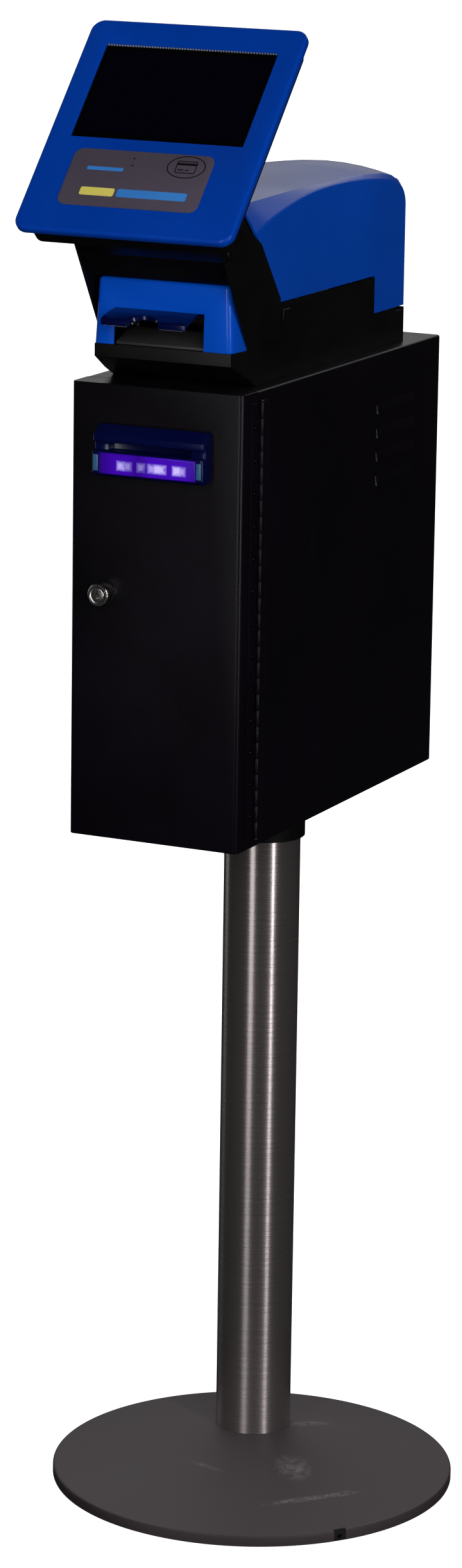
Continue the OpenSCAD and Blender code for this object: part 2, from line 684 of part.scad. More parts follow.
// ---- display ----
axis_up = (tilt_y - panel_y) * cos(panel_tilt) + (tilt_z - panel_z) * sin(panel_tilt);
axis_in = -(tilt_y - panel_y) * sin(panel_tilt) + (tilt_z - panel_z) * cos(panel_tilt);
module tilt_pin() {
    color("silver") {
        rod_x(4, -head_x - 2.5, head_x + 2.5, [tilt_y, tilt_z]);
        for (x = [-head_x - 5, head_x + 2]) rod_x(7, x, x + 3, [tilt_y, tilt_z]);
    }
}
module display_bracket() {
    back = -frame_t - shell_t - 0.04;
    low = axis_up - 9;
    x = 74.2;
    color([0.05, 0.05, 0.06]) at_panel() {
        translate([-x, low, back - 2.5]) cube([2 * x, 70, 2.5]);
        translate([-x, low, axis_in - 4]) cube([2 * x, 2, back - axis_in + 4]);
        for (left = [-x, x - 3]) difference() {
            union() {
                translate([left, low, axis_in]) cube([3, 18, back - axis_in]);
                translate([left, axis_up, axis_in]) rotate([0, 90, 0]) cylinder(r = 9, h = 3);
            }
            translate([left - 1, axis_up, axis_in]) rotate([0, 90, 0]) cylinder(r = 4 + fit, h = 5);
        }
    }
}
module display_back() {
    color([0.06, 0.06, 0.07]) at_panel() translate([0, 0, -frame_t - shell_t - 0.02]) difference() {
        linear_extrude(shell_t) rrect(back_w, back_h, 11);
        translate([0, 0, 2.2]) linear_extrude(shell_t) rrect(back_w - 4.4, back_h - 4.4, 9);
        for (i = [0:9]) translate([-60 + i * 12, 45, -1]) cube([6, 40, 5]);
    }
}
module display_frame() {
    color([0.0, 0.2, 0.6]) at_panel() difference() {
        translate([0, 0, -frame_t]) linear_extrude(frame_t) rrect(panel_w, panel_h, 13);
        translate([0, 0, -frame_t - 1]) linear_extrude(frame_t - 1.5) rrect(panel_w - 12, panel_h - 12, 8);
        translate([0, window_up, -5]) linear_extrude(10) square([window_w, window_h], center = true);
        translate([0, window_up, -0.8]) linear_extrude(5) square([window_w + 2, window_h + 2], center = true);
    }
}
module touch_glass() {
    color([0.02, 0.02, 0.03, 0.9]) at_panel() translate([0, window_up, -4.52]) linear_extrude(2)
        rrect(window_w + 12, window_h + 12, 3);
}
module lcd_panel() {
    color([0.1, 0.1, 0.12]) at_panel() translate([0, window_up, -12.54]) linear_extrude(8)
        rrect(window_w + 12, window_h + 12, 2);
}
module label_plate() {
    color([0.42, 0.4, 0.45]) at_panel() translate([-4.2, -60.2, 0.02]) linear_extrude(0.8) rrect(143.6, 64, 9);
}
module reader_board() {
    color("darkgreen") at_panel() translate([0, -66, -9]) {
        linear_extrude(1.6) rrect(150, 70, 3);
        for (x = [-60, 60], y = [-28, 28]) translate([x, y, 1.6]) cylinder(r = 2.5, h = 4.88, $fn = 24);
    }
}

base_plate();
base_pad();
cable_grommet();
base_screws();
pole_plug();
pole_tube();
pole_cap();
swivel_collar();
collar_bolts();
collar_set_screws();
cabinet_shell();
cabinet_hinge_leaf();
hinge_pin();
equipment_bracket();
bill_validator();
cash_box();
cash_box_handle();
power_supply();
controller_board();
door();
door_hinge_leaf();
hinge_screws();
lock_body();
lock_plug();
lock_cam();
bill_bezel();
bezel_lens();
led_board();
head_base();
neck_housing();
neck_screws();
mouth_bezel();
visor();
ticket_tray();
printer_chassis();
print_head();
cutter();
feed_motor();
motor_pinion();
idler_gear();
platen_gear();
platen_shaft();
platen_roller();
roll_bracket();
roll_spindle();
paper_roll();
paper_web();
rear_cover();
cover_hinge_pin();
release_button_right();
release_button_left();
tilt_pin();
display_bracket();
display_back();
display_frame();
touch_glass();
lcd_panel();
label_plate();
reader_board();
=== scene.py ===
import json
import math

import bmesh
import bpy
from mathutils import Matrix, Vector

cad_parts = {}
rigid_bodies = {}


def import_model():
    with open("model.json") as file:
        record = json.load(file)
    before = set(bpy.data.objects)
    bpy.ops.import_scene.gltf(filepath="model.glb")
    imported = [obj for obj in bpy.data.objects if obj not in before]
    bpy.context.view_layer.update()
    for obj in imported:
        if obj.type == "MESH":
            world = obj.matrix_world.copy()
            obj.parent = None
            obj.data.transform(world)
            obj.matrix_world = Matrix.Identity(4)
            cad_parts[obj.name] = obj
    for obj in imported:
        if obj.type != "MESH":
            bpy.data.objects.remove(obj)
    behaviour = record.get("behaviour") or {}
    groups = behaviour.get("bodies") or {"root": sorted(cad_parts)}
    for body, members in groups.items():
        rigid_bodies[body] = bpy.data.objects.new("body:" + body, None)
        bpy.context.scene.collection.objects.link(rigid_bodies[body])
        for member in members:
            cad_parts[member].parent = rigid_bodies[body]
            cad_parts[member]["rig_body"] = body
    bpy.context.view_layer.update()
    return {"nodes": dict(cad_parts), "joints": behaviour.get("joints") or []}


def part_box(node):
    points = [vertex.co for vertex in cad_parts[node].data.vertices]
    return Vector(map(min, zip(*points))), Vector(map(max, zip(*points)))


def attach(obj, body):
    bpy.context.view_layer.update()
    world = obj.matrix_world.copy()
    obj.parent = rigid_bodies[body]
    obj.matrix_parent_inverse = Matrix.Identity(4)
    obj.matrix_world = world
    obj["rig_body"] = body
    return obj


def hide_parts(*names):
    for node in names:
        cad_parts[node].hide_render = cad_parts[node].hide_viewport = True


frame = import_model()
nodes = frame["nodes"]
jointAt = {joint["name"]: joint.get("pos_m") for joint in frame["joints"]}
mm = 0.001
print("frame loaded with", len(nodes), "nodes")


# camera: azimuth and downward angle as the machine is seen, roll of the horizon
camera = {"place": (2.04713, -4.34623, 1.8389), "azimuth": 25.605, "down": 13.5, "roll": 0.849,
          "lens": 113.906, "sensor": 36.0}


def addCamera():
    azimuth, down, roll = (math.radians(camera[k]) for k in ("azimuth", "down", "roll"))
    right = Vector((math.cos(azimuth), math.sin(azimuth), 0))
    ahead = Vector((-math.sin(azimuth) * math.cos(down), math.cos(azimuth) * math.cos(down), -math.sin(down)))
    up = right.cross(ahead)
    across = right * math.cos(roll) + up * math.sin(roll)
    upright = up * math.cos(roll) - right * math.sin(roll)
    bpy.ops.object.camera_add()
    viewer = bpy.context.object
    viewer.name = "viewer"
    turn = Matrix((across, upright, -ahead)).transposed().to_4x4()
    viewer.matrix_world = Matrix.Translation(camera["place"]) @ turn
    viewer.data.sensor_fit = "VERTICAL"
    viewer.data.sensor_height = camera["sensor"]
    viewer.data.lens = camera["lens"]
    viewer.data.clip_end = 200
    bpy.context.scene.camera = viewer


# stage: turn is degrees to the right of the camera as seen from the machine, lightsAim a height in m
stage = {"floorSize": 160, "floorColor": (0.9, 0.9, 0.9), "floorRough": 0.9, "floorGlow": 0.86,
         "world": (0.012, 0.0112, 0.0116), "lightsAim": 0.85}
suns = {"frontSun": {"turn": 10, "height": 12, "strength": 3.2, "angle": 42, "glossy": False},
        "backSun": {"turn": -160, "height": 24, "strength": 1.5, "angle": 50, "glossy": False}}
softboxes = {
    "stripRight": {"turn": 34, "far": 3.2, "height": 1.5, "size": (0.08, 3.0), "power": 52},
    "stripLeft": {"turn": -28, "far": 3.2, "height": 1.5, "size": (0.7, 3.0), "power": 36},
    "edgeLeft": {"turn": -126, "far": 3.2, "height": 1.3, "size": (0.9, 2.6), "power": 8},
    "backGlow": {"turn": 166, "far": 4.6, "height": 3.9, "size": (8.0, 2.8), "power": 66},
    "backLow": {"turn": 180, "far": 5.4, "height": 1.9, "size": (5.0, 0.8), "power": 7},
}


def addStage():
    bpy.ops.mesh.primitive_plane_add(size=stage["floorSize"], location=(0, 0, 0))
    floor = bpy.context.object
    floor.name = "studioFloor"
    paint = bpy.data.materials.new("palePaper")
    paint.use_nodes = True
    shader = paint.node_tree.nodes["Principled BSDF"]
    shader.inputs["Base Color"].default_value = (*stage["floorColor"], 1)
    shader.inputs["Roughness"].default_value = stage["floorRough"]
    shader.inputs["Specular IOR Level"].default_value = 0.0
    shader.inputs["Emission Color"].default_value = (1, 1, 1, 1)
    shader.inputs["Emission Strength"].default_value = stage["floorGlow"]
    floor.data.materials.append(paint)
    floor.visible_glossy = False
    floor.visible_diffuse = False
    world = bpy.data.worlds.new("studio")
    world.use_nodes = True
    world.node_tree.nodes["Background"].inputs["Color"].default_value = (*stage["world"], 1)
    bpy.context.scene.world = world
    bpy.context.scene.view_settings.view_transform = "Standard"

    def around(turn, far, height):
        angle = math.radians(camera["azimuth"] + turn)
        return Vector((math.sin(angle) * far, -math.cos(angle) * far, height))

    for name, beam in suns.items():
        sunFrom = around(beam["turn"], 1, math.tan(math.radians(beam["height"])))
        bpy.ops.object.light_add(type="SUN", location=sunFrom * 3)
        sun = bpy.context.object
        sun.name = name
        sun.data.energy = beam["strength"]
        sun.data.angle = math.radians(beam["angle"])
        sun.visible_glossy = beam["glossy"]
        sun.rotation_euler = (-sunFrom).to_track_quat("-Z", "Y").to_euler()
    for name, box in softboxes.items():
        place = around(box["turn"], box["far"], box["height"])
        bpy.ops.object.light_add(type="AREA", location=place)
        light = bpy.context.object
        light.name = name
        light.data.shape = "RECTANGLE"
        light.data.size, light.data.size_y = box["size"]
        light.data.energy = box["power"]
        light.rotation_euler = (Vector((0, 0, stage["lightsAim"])) - place).to_track_quat("-Z", "Y").to_euler()
        light.visible_camera = False


addCamera()
addStage()
print("camera and stage ready")


# shared surface effects
def newGroup(name, inputs, outputs):
    tree = bpy.data.node_groups.new(name, "ShaderNodeTree")
    for label, kind, value in inputs:
        socket = tree.interface.new_socket(label, in_out="INPUT", socket_type="NodeSocket" + kind)
        if value is not None:
            socket.default_value = value
    for label in outputs:
        tree.interface.new_socket(label, in_out="OUTPUT", socket_type="NodeSocketFloat")
    return tree, tree.nodes.new("NodeGroupInput"), tree.nodes.new("NodeGroupOutput")


def mathNode(tree, operation, first, second=None):
    node = tree.nodes.new("ShaderNodeMath")
    node.operation = operation
    for socket, value in zip(node.inputs, (first, second)):
        if value is None:
            continue
        if isinstance(value, (int, float)):
            socket.default_value = value
        else:
            tree.links.new(value, socket)
    return node.outputs[0]


def noiseNode(tree, vector, scale, detail=2.0, distortion=0.0):
    node = tree.nodes.new("ShaderNodeTexNoise")
    tree.links.new(vector, node.inputs["Vector"])
    if isinstance(scale, (int, float)):
        node.inputs["Scale"].default_value = scale
    else:
        tree.links.new(scale, node.inputs["Scale"])
    node.inputs["Detail"].default_value = detail
    node.inputs["Distortion"].default_value = distortion
    return node.outputs["Fac"]


def rangeNode(tree, value, low, high, toLow=0.0, toHigh=1.0):
    node = tree.nodes.new("ShaderNodeMapRange")
    tree.links.new(value, node.inputs["Value"])
    for label, number in zip(("From Min", "From Max", "To Min", "To Max"), (low, high, toLow, toHigh)):
        if isinstance(number, (int, float)):
            node.inputs[label].default_value = number
        else:
            tree.links.new(number, node.inputs[label])
    return node.outputs["Result"]


def mouldGrain():
    # fine stipple of moulded plastic and powder coat, with slow changes of tone
    tree, source, sink = newGroup("mouldGrain", [("Vector", "Vector", None), ("Fineness", "Float", 900.0)],
                                  ["Height", "Tone"])
    fine = noiseNode(tree, source.outputs["Vector"], source.outputs["Fineness"], 3.0)
    slowScale = mathNode(tree, "MULTIPLY", source.outputs["Fineness"], 0.012)
    slow = noiseNode(tree, source.outputs["Vector"], slowScale, 4.0)
    tree.links.new(fine, sink.inputs["Height"])
    tree.links.new(rangeNode(tree, slow, 0.3, 0.7), sink.inputs["Tone"])
    return tree


def brushLines():
    # long lines of a belt-ground or brushed metal: the vector comes stretched
    tree, source, sink = newGroup("brushLines", [("Vector", "Vector", None)], ["Height", "Tone"])
    fine = noiseNode(tree, source.outputs["Vector"], 1.0, 3.0)
    broad = noiseNode(tree, source.outputs["Vector"], 0.13, 2.0)
    tree.links.new(fine, sink.inputs["Height"])
    both = mathNode(tree, "ADD", mathNode(tree, "MULTIPLY", fine, 0.6), mathNode(tree, "MULTIPLY", broad, 0.4))
    tree.links.new(rangeNode(tree, both, 0.35, 0.65), sink.inputs["Tone"])
    return tree


def scuffMarks():
    # thin rubbed streaks gathered in patches
    tree, source, sink = newGroup("scuffMarks", [("Vector", "Vector", None), ("Spread", "Float", 3.0),
                                                 ("Cover", "Float", 0.6)], ["Mask"])
    patch = noiseNode(tree, source.outputs["Vector"], source.outputs["Spread"], 1.0)
    mapping = tree.nodes.new("ShaderNodeMapping")
    mapping.inputs["Scale"].default_value = (1.0, 4.5, 1.0)
    mapping.inputs["Rotation"].default_value = (0.0, 0.0, 0.35)
    tree.links.new(source.outputs["Vector"], mapping.inputs["Vector"])
    streak = noiseNode(tree, mapping.outputs["Vector"], mathNode(tree, "MULTIPLY", source.outputs["Spread"], 7.0),
                       8.0, 1.4)
    where = rangeNode(tree, patch, source.outputs["Cover"], mathNode(tree, "ADD", source.outputs["Cover"], 0.14))
    lines = rangeNode(tree, streak, 0.5, 0.64)
    tree.links.new(mathNode(tree, "MULTIPLY", where, lines), sink.inputs["Mask"])
    return tree


def settledDust():
    # pale film on faces that look up
    tree, source, sink = newGroup("settledDust", [("Vector", "Vector", None), ("Amount", "Float", 0.2)], ["Mask"])
    geometry = tree.nodes.new("ShaderNodeNewGeometry")
    parts = tree.nodes.new("ShaderNodeSeparateXYZ")
    tree.links.new(geometry.outputs["Normal"], parts.inputs["Vector"])
    upward = rangeNode(tree, parts.outputs["Z"], 0.75, 1.0)
    cloud = rangeNode(tree, noiseNode(tree, source.outputs["Vector"], 14.0, 6.0), 0.3, 0.75, 0.25, 1.0)
    tree.links.new(mathNode(tree, "MULTIPLY", mathNode(tree, "MULTIPLY", upward, cloud), source.outputs["Amount"]),
                   sink.inputs["Mask"])
    return tree


effects = {"grain": mouldGrain(), "brush": brushLines(), "scuffs": scuffMarks(), "dust": settledDust()}

# what each finish looks like: color and shade are the two tones, rough the range of roughness,
# grain the fineness of the mould or coat, brush the stretch of the brushed lines, streaky the long glints
finishes = {
    "panelBlue": {"color": (0.0003, 0.0245, 0.21), "shade": (0.0004, 0.0295, 0.24), "rough": (0.22, 0.3),
                  "grain": 800, "bump": 0.02, "specular": 0.14},
    "mouthBlue": {"color": (0.0006, 0.038, 0.285), "shade": (0.0008, 0.044, 0.32), "rough": (0.15, 0.22),
                  "grain": 800, "bump": 0.02, "specular": 0.22},
    "coverBlue": {"color": (0.0006, 0.035, 0.255), "shade": (0.0007, 0.040, 0.29), "rough": (0.2, 0.28),
                  "grain": 700, "bump": 0.02, "specular": 0.3},
    "blackCoat": {"color": (0.0010, 0.0007, 0.0013), "shade": (0.0018, 0.0011, 0.0025), "rough": (0.28, 0.38),
                  "grain": 620, "bump": 0.14, "scuffs": (6, 0.68, (0.008, 0.0075, 0.009)),
                  "dust": (0.045, (0.05, 0.045, 0.047)), "specular": 0.16},
    "blackPlastic": {"color": (0.0009, 0.0009, 0.0010), "shade": (0.0015, 0.0014, 0.0017), "rough": (0.36, 0.5),
                     "grain": 1100, "bump": 0.1, "dust": (0.08, (0.03, 0.03, 0.03)), "specular": 0.2},
    "brushedPole": {"color": (0.37, 0.325, 0.325), "shade": (0.42, 0.375, 0.375), "rough": (0.25, 0.31),
                    "metal": 0.95, "brush": (6, 6, 2600), "bump": 0.0, "streaky": 0.85},
    "baseCoat": {"color": (0.045, 0.037, 0.039), "shade": (0.053, 0.0435, 0.046), "rough": (0.5, 0.6), "grain": 520,
                 "bump": 0.1, "specular": 0.2, "rubs": (0.21, 0.19, 0.195)},
    # baseRim is the base coat made darker for the rim's sides: painted shade, so the sides read darker than the top
    "baseRim": {"color": (0.022, 0.0178, 0.019), "shade": (0.027, 0.0215, 0.023), "rough": (0.5, 0.6), "grain": 520,
                "bump": 0.1, "specular": 0.15},
    "smokeBlue": {"color": (0.0006, 0.0012, 0.017), "shade": (0.0008, 0.0022, 0.026), "rough": (0.12, 0.2),
                  "grain": 300, "bump": 0.02, "specular": 0.25},
    "clearBlue": {"color": (0.012, 0.045, 0.10), "shade": (0.018, 0.06, 0.12), "rough": (0.15, 0.25), "grain": 300,
                  "bump": 0.02, "glow": ((0.03, 0.12, 0.25), 0.12)},
    "screenMask": {"color": (0.0006, 0.0006, 0.0008), "shade": (0.0008, 0.0008, 0.001), "rough": (0.08, 0.12),
                   "grain": 60, "bump": 0.0, "specular": 0.08},
    "screenDark": {"color": (0.0008, 0.0005, 0.0022), "shade": (0.0012, 0.0008, 0.003), "rough": (0.1, 0.16),
                   "grain": 40, "bump": 0.0, "specular": 0.08},
    "stripGray": {"color": (0.09, 0.1, 0.14), "shade": (0.13, 0.14, 0.18), "rough": (0.3, 0.4), "grain": 900,
                  "bump": 0.03},
    "plateGray": {"color": (0.043, 0.035, 0.05), "shade": (0.05, 0.041, 0.058), "rough": (0.42, 0.5), "grain": 1500,
                  "bump": 0.04, "specular": 0.2},
    "inkYellow": {"color": (0.42, 0.36, 0.07), "shade": (0.48, 0.42, 0.1), "rough": (0.4, 0.5), "grain": 900,
                  "bump": 0.03, "specular": 0.2},
    "inkBlue": {"color": (0.02, 0.115, 0.34), "shade": (0.028, 0.14, 0.4), "rough": (0.4, 0.5), "grain": 900,
                "bump": 0.03, "specular": 0.2},
    "inkDark": {"color": (0.003, 0.0025, 0.004), "shade": (0.004, 0.0035, 0.005), "rough": (0.4, 0.5), "grain": 900,
                "bump": 0.03, "specular": 0.1},
    "chrome": {"color": (0.46, 0.44, 0.43), "shade": (0.54, 0.52, 0.5), "rough": (0.16, 0.28), "metal": 1.0,
               "brush": (1500, 160, 160), "bump": 0.03},
    "zincPlate": {"color": (0.42, 0.41, 0.39), "shade": (0.52, 0.51, 0.47), "rough": (0.28, 0.45), "metal": 1.0,
                  "grain": 180, "bump": 0.05},
    "blackZinc": {"color": (0.02, 0.02, 0.022), "shade": (0.04, 0.04, 0.043), "rough": (0.22, 0.34), "metal": 1.0,
                  "grain": 400, "bump": 0.05},
    "steelBlade": {"color": (0.5, 0.5, 0.5), "shade": (0.6, 0.6, 0.6), "rough": (0.15, 0.3), "metal": 1.0,
                   "brush": (30, 30, 1500), "bump": 0.05},
    "aluminium": {"color": (0.55, 0.55, 0.56), "shade": (0.62, 0.62, 0.63), "rough": (0.25, 0.38), "metal": 1.0,
                  "brush": (1500, 20, 60), "bump": 0.05},
    "brass": {"color": (0.52, 0.36, 0.12), "shade": (0.6, 0.43, 0.16), "rough": (0.2, 0.35), "metal": 1.0,
              "grain": 300, "bump": 0.04},
    "rubber": {"color": (0.003, 0.003, 0.003), "shade": (0.006, 0.006, 0.006), "rough": (0.75, 0.9), "grain": 500,
               "bump": 0.2, "specular": 0.2},
    "nylon": {"color": (0.5, 0.48, 0.42), "shade": (0.56, 0.54, 0.48), "rough": (0.38, 0.5), "grain": 400,
              "bump": 0.04},
    "paper": {"color": (0.62, 0.61, 0.58), "shade": (0.68, 0.67, 0.64), "rough": (0.75, 0.85), "grain": 1200,
              "bump": 0.06, "specular": 0.2},
    "boardGreen": {"color": (0.004, 0.04, 0.015), "shade": (0.008, 0.065, 0.025), "rough": (0.3, 0.45), "grain": 350,
                   "bump": 0.12, "tracks": (0.016, 0.11, 0.04)},
    "grayPlastic": {"color": (0.012, 0.012, 0.013), "shade": (0.018, 0.018, 0.019), "rough": (0.45, 0.6),
                    "grain": 900, "bump": 0.12, "dust": (0.1, (0.08, 0.075, 0.07)), "specular": 0.3},
}
grainDepth = 0.6  # height of the relief behind every bump, in mm
materials = {}

# places on the base plate where shoes rubbed: x, y in mm, half length, half width, turn in degrees, strength
rubs = {"places": ((92, -100, 40, 20, -58, 0.5), (140, -168, 62, 7, 48, 0.6), (164, -141, 22, 7, 48, 0.7),
                   (55, 20, 26, 8, 30, 0.35), (8, -135, 34, 5, -12, 0.25)),
        "streakScale": 130.0, "streakCut": (0.4, 0.66), "fadeFrom": 0.45}


def rubbedPlaces(tree, vector):
    total = None
    for x, y, long, wide, turn, strength in rubs["places"]:
        place = tree.nodes.new("ShaderNodeMapping")
        place.vector_type = "TEXTURE"
        place.inputs["Location"].default_value = (x * mm, y * mm, 0)
        place.inputs["Rotation"].default_value = (0, 0, math.radians(turn))
        place.inputs["Scale"].default_value = (long * mm, wide * mm, 1)
        tree.links.new(vector, place.inputs["Vector"])
        away = tree.nodes.new("ShaderNodeVectorMath")
        away.operation = "LENGTH"
        tree.links.new(place.outputs["Vector"], away.inputs[0])
        streaks = rangeNode(tree, noiseNode(tree, vector, rubs["streakScale"], 6.0, 0.9), *rubs["streakCut"])
        near = mathNode(tree, "MULTIPLY", rangeNode(tree, away.outputs["Value"], 1.0, rubs["fadeFrom"]), streaks)
        near = mathNode(tree, "MULTIPLY", near, strength)
        total = near if total is None else mathNode(tree, "MAXIMUM", total, near)
    return total


def makeFinish(name, spec):
    material = bpy.data.materials.new(name)
    material.use_nodes = True
    tree = material.node_tree
    shader = tree.nodes["Principled BSDF"]
    vector = tree.nodes.new("ShaderNodeTexCoord").outputs["Object"]
    if "brush" in spec:
        mapping = tree.nodes.new("ShaderNodeMapping")
        mapping.inputs["Scale"].default_value = spec["brush"]
        tree.links.new(vector, mapping.inputs["Vector"])
        texture = tree.nodes.new("ShaderNodeGroup")
        texture.node_tree = effects["brush"]
        tree.links.new(mapping.outputs["Vector"], texture.inputs["Vector"])
    else:
        texture = tree.nodes.new("ShaderNodeGroup")
        texture.node_tree = effects["grain"]
        tree.links.new(vector, texture.inputs["Vector"])
        texture.inputs["Fineness"].default_value = spec["grain"]
    tone = texture.outputs["Tone"]

    def blend(factor, first, second):
        mix = tree.nodes.new("ShaderNodeMix")
        mix.data_type = "RGBA"
        tree.links.new(factor, mix.inputs["Factor"])
        for socket, value in ((mix.inputs["A"], first), (mix.inputs["B"], second)):
            if isinstance(value, tuple):
                socket.default_value = (*value, 1)
            else:
                tree.links.new(value, socket)
        return mix.outputs["Result"]

    color = blend(tone, spec["color"], spec["shade"])
    rough = rangeNode(tree, tone, 0.0, 1.0, *spec["rough"])
    if "tracks" in spec:
        brick = tree.nodes.new("ShaderNodeTexBrick")
        brick.inputs["Scale"].default_value = 90.0
        brick.inputs["Mortar Size"].default_value = 0.03
        tree.links.new(vector, brick.inputs["Vector"])
        color = blend(brick.outputs["Fac"], color, spec["tracks"])
    if "scuffs" in spec:
        spread, cover, mark = spec["scuffs"]
        scuffs = tree.nodes.new("ShaderNodeGroup")
        scuffs.node_tree = effects["scuffs"]
        tree.links.new(vector, scuffs.inputs["Vector"])
        scuffs.inputs["Spread"].default_value = spread
        scuffs.inputs["Cover"].default_value = cover
        color = blend(scuffs.outputs["Mask"], color, mark)
        rough = mathNode(tree, "ADD", rough, mathNode(tree, "MULTIPLY", scuffs.outputs["Mask"], 0.15))
    if "rubs" in spec:
        color = blend(rubbedPlaces(tree, vector), color, spec["rubs"])
    if "streaky" in spec:
        around = tree.nodes.new("ShaderNodeTangent")
        around.direction_type = "RADIAL"
        around.axis = "Z"
        tree.links.new(around.outputs["Tangent"], shader.inputs["Tangent"])
        shader.inputs["Anisotropic"].default_value = spec["streaky"]
        shader.inputs["Anisotropic Rotation"].default_value = 0.25  # the glint runs along the pole
    if "dust" in spec:
        amount, film = spec["dust"]
        dust = tree.nodes.new("ShaderNodeGroup")
        dust.node_tree = effects["dust"]
        tree.links.new(vector, dust.inputs["Vector"])
        dust.inputs["Amount"].default_value = amount
        color = blend(dust.outputs["Mask"], color, film)
    tree.links.new(color, shader.inputs["Base Color"])
    tree.links.new(rough, shader.inputs["Roughness"])
    if spec["bump"]:
        bump = tree.nodes.new("ShaderNodeBump")
        bump.inputs["Strength"].default_value = spec["bump"]
        bump.inputs["Distance"].default_value = grainDepth * mm
        tree.links.new(texture.outputs["Height"], bump.inputs["Height"])
        tree.links.new(bump.outputs["Normal"], shader.inputs["Normal"])
    shader.inputs["Metallic"].default_value = spec.get("metal", 0.0)
    shader.inputs["Specular IOR Level"].default_value = spec.get("specular", 0.5)
    if "glow" in spec:
        light, strength = spec["glow"]
        shader.inputs["Emission Color"].default_value = (*light, 1)
        shader.inputs["Emission Strength"].default_value = strength
    return material


for finishName, finishSpec in finishes.items():
    materials[finishName] = makeFinish(finishName, finishSpec)

# the lit lens: spots of light behind it, each (x in mm, brightness), reach and wash in mm
lensLight = {"lamps": ((-27, 0.9), (-20, 0.4), (-6, 0.35), (5, 0.6), (11, 1.2), (16, 0.9), (31, 1.2), (36, 0.6)),
             "reach": 5.2, "core": 1.6, "wash": 22.0, "cells": 170.0, "dark": (0.016, 0.0002, 0.16),
             "deep": (0.05, 0.0008, 0.46), "hot": (0.6, 0.5, 1.0), "strength": 1.0}


def makeLensGlow():
    material = makeFinish("lensGlow", {"color": (0.006, 0.001, 0.03), "shade": (0.008, 0.002, 0.04),
                                       "rough": (0.15, 0.25), "grain": 300, "bump": 0.03, "specular": 0.15})
    tree = material.node_tree
    shader = tree.nodes["Principled BSDF"]
    vector = tree.nodes.new("ShaderNodeTexCoord").outputs["Object"]
    lensLow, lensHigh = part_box("bezel_lens")
    height = (lensLow.z + lensHigh.z) / 2
    total = wash = None
    for x, bright in lensLight["lamps"]:
        away = tree.nodes.new("ShaderNodeMapping")
        away.inputs["Location"].default_value = (-x, 0, -height / mm + 1)
        away.inputs["Scale"].default_value = (1 / mm, 0, 1 / mm)
        tree.links.new(vector, away.inputs["Vector"])
        parts = tree.nodes.new("ShaderNodeSeparateXYZ")
        tree.links.new(away.outputs["Vector"], parts.inputs["Vector"])
        # square lamps: the larger of the two distances counts
        apart = mathNode(tree, "MAXIMUM", mathNode(tree, "ABSOLUTE", parts.outputs["X"]),
                         mathNode(tree, "ABSOLUTE", parts.outputs["Z"]))
        near = mathNode(tree, "MULTIPLY", rangeNode(tree, apart, lensLight["reach"], lensLight["core"]), bright)
        far = mathNode(tree, "MULTIPLY", rangeNode(tree, apart, lensLight["wash"], 0.0), bright)
        total = near if total is None else mathNode(tree, "MAXIMUM", total, near)
        wash = far if wash is None else mathNode(tree, "MAXIMUM", wash, far)
    cells = tree.nodes.new("ShaderNodeTexVoronoi")
    cells.distance = "CHEBYCHEV"
    cells.inputs["Scale"].default_value = lensLight["cells"]
    tree.links.new(vector, cells.inputs["Vector"])
    total = mathNode(tree, "MULTIPLY", total, rangeNode(tree, cells.outputs["Distance"], 0.85, 0.45, 0.25, 1.1))
    glow = None
    for factor, low, high in ((wash, lensLight["dark"], lensLight["deep"]), (total, None, lensLight["hot"])):
        mix = tree.nodes.new("ShaderNodeMix")
        mix.data_type = "RGBA"
        tree.links.new(factor, mix.inputs["Factor"])
        if low:
            mix.inputs["A"].default_value = (*low, 1)
        else:
            tree.links.new(glow, mix.inputs["A"])
        mix.inputs["B"].default_value = (*high, 1)
        glow = mix.outputs["Result"]
    tree.links.new(glow, shader.inputs["Emission Color"])
    shader.inputs["Emission Strength"].default_value = lensLight["strength"]
    return material


materials["lensGlow"] = makeLensGlow()
print("finishes mixed:", len(materials))


# workshop helpers
def deselectAll():
    bpy.ops.object.select_all(action="DESELECT")


def activate(piece):
    deselectAll()
    piece.select_set(True)
    bpy.context.view_layer.objects.active = piece


def selectInside(piece, kind, rule):
    # goes into edit mode with only the vertices, edges or faces that the rule picks
    activate(piece)
    bpy.ops.object.mode_set(mode="EDIT")
    bpy.ops.mesh.select_mode(type={"verts": "VERT", "edges": "EDGE", "faces": "FACE"}[kind])
    bpy.ops.mesh.select_all(action="DESELECT")
    shape = bmesh.from_edit_mesh(piece.data)
    for part in getattr(shape, kind):
        if kind == "verts":
            chosen = rule(part.co)
        elif kind == "edges":
            chosen = rule(part.verts[0].co, part.verts[1].co)
        else:
            chosen = rule(part.calc_center_median(), part.normal)
        if chosen:
            part.select_set(True)
    shape.select_flush_mode()
    bmesh.update_edit_mesh(piece.data)


def leaveEdit():
    bpy.ops.object.mode_set(mode="OBJECT")


def bevelEdges(piece, rule, width, segments, profile=0.5):
    selectInside(piece, "edges", rule)
    bpy.ops.mesh.bevel(offset=width * mm, segments=segments, profile=profile, affect="EDGES", clamp_overlap=True)
    leaveEdit()


def deleteFaces(piece, rule):
    selectInside(piece, "faces", rule)
    bpy.ops.mesh.delete(type="FACE")
    leaveEdit()


def modify(piece, kind, **settings):
    activate(piece)
    modifier = piece.modifiers.new(kind.lower(), kind)
    for key, value in settings.items():
        setattr(modifier, key, value)
    bpy.ops.object.modifier_apply(modifier=modifier.name)


def softenEdges(piece, width, segments=2, angle=38):
    modify(piece, "BEVEL", width=width * mm, segments=segments, limit_method="ANGLE",
           angle_limit=math.radians(angle), use_clamp_overlap=True)


def cutAway(piece, *cutters):
    for cutter in cutters:
        modify(piece, "BOOLEAN", operation="DIFFERENCE", solver="EXACT", object=cutter)
        bpy.data.objects.remove(cutter)


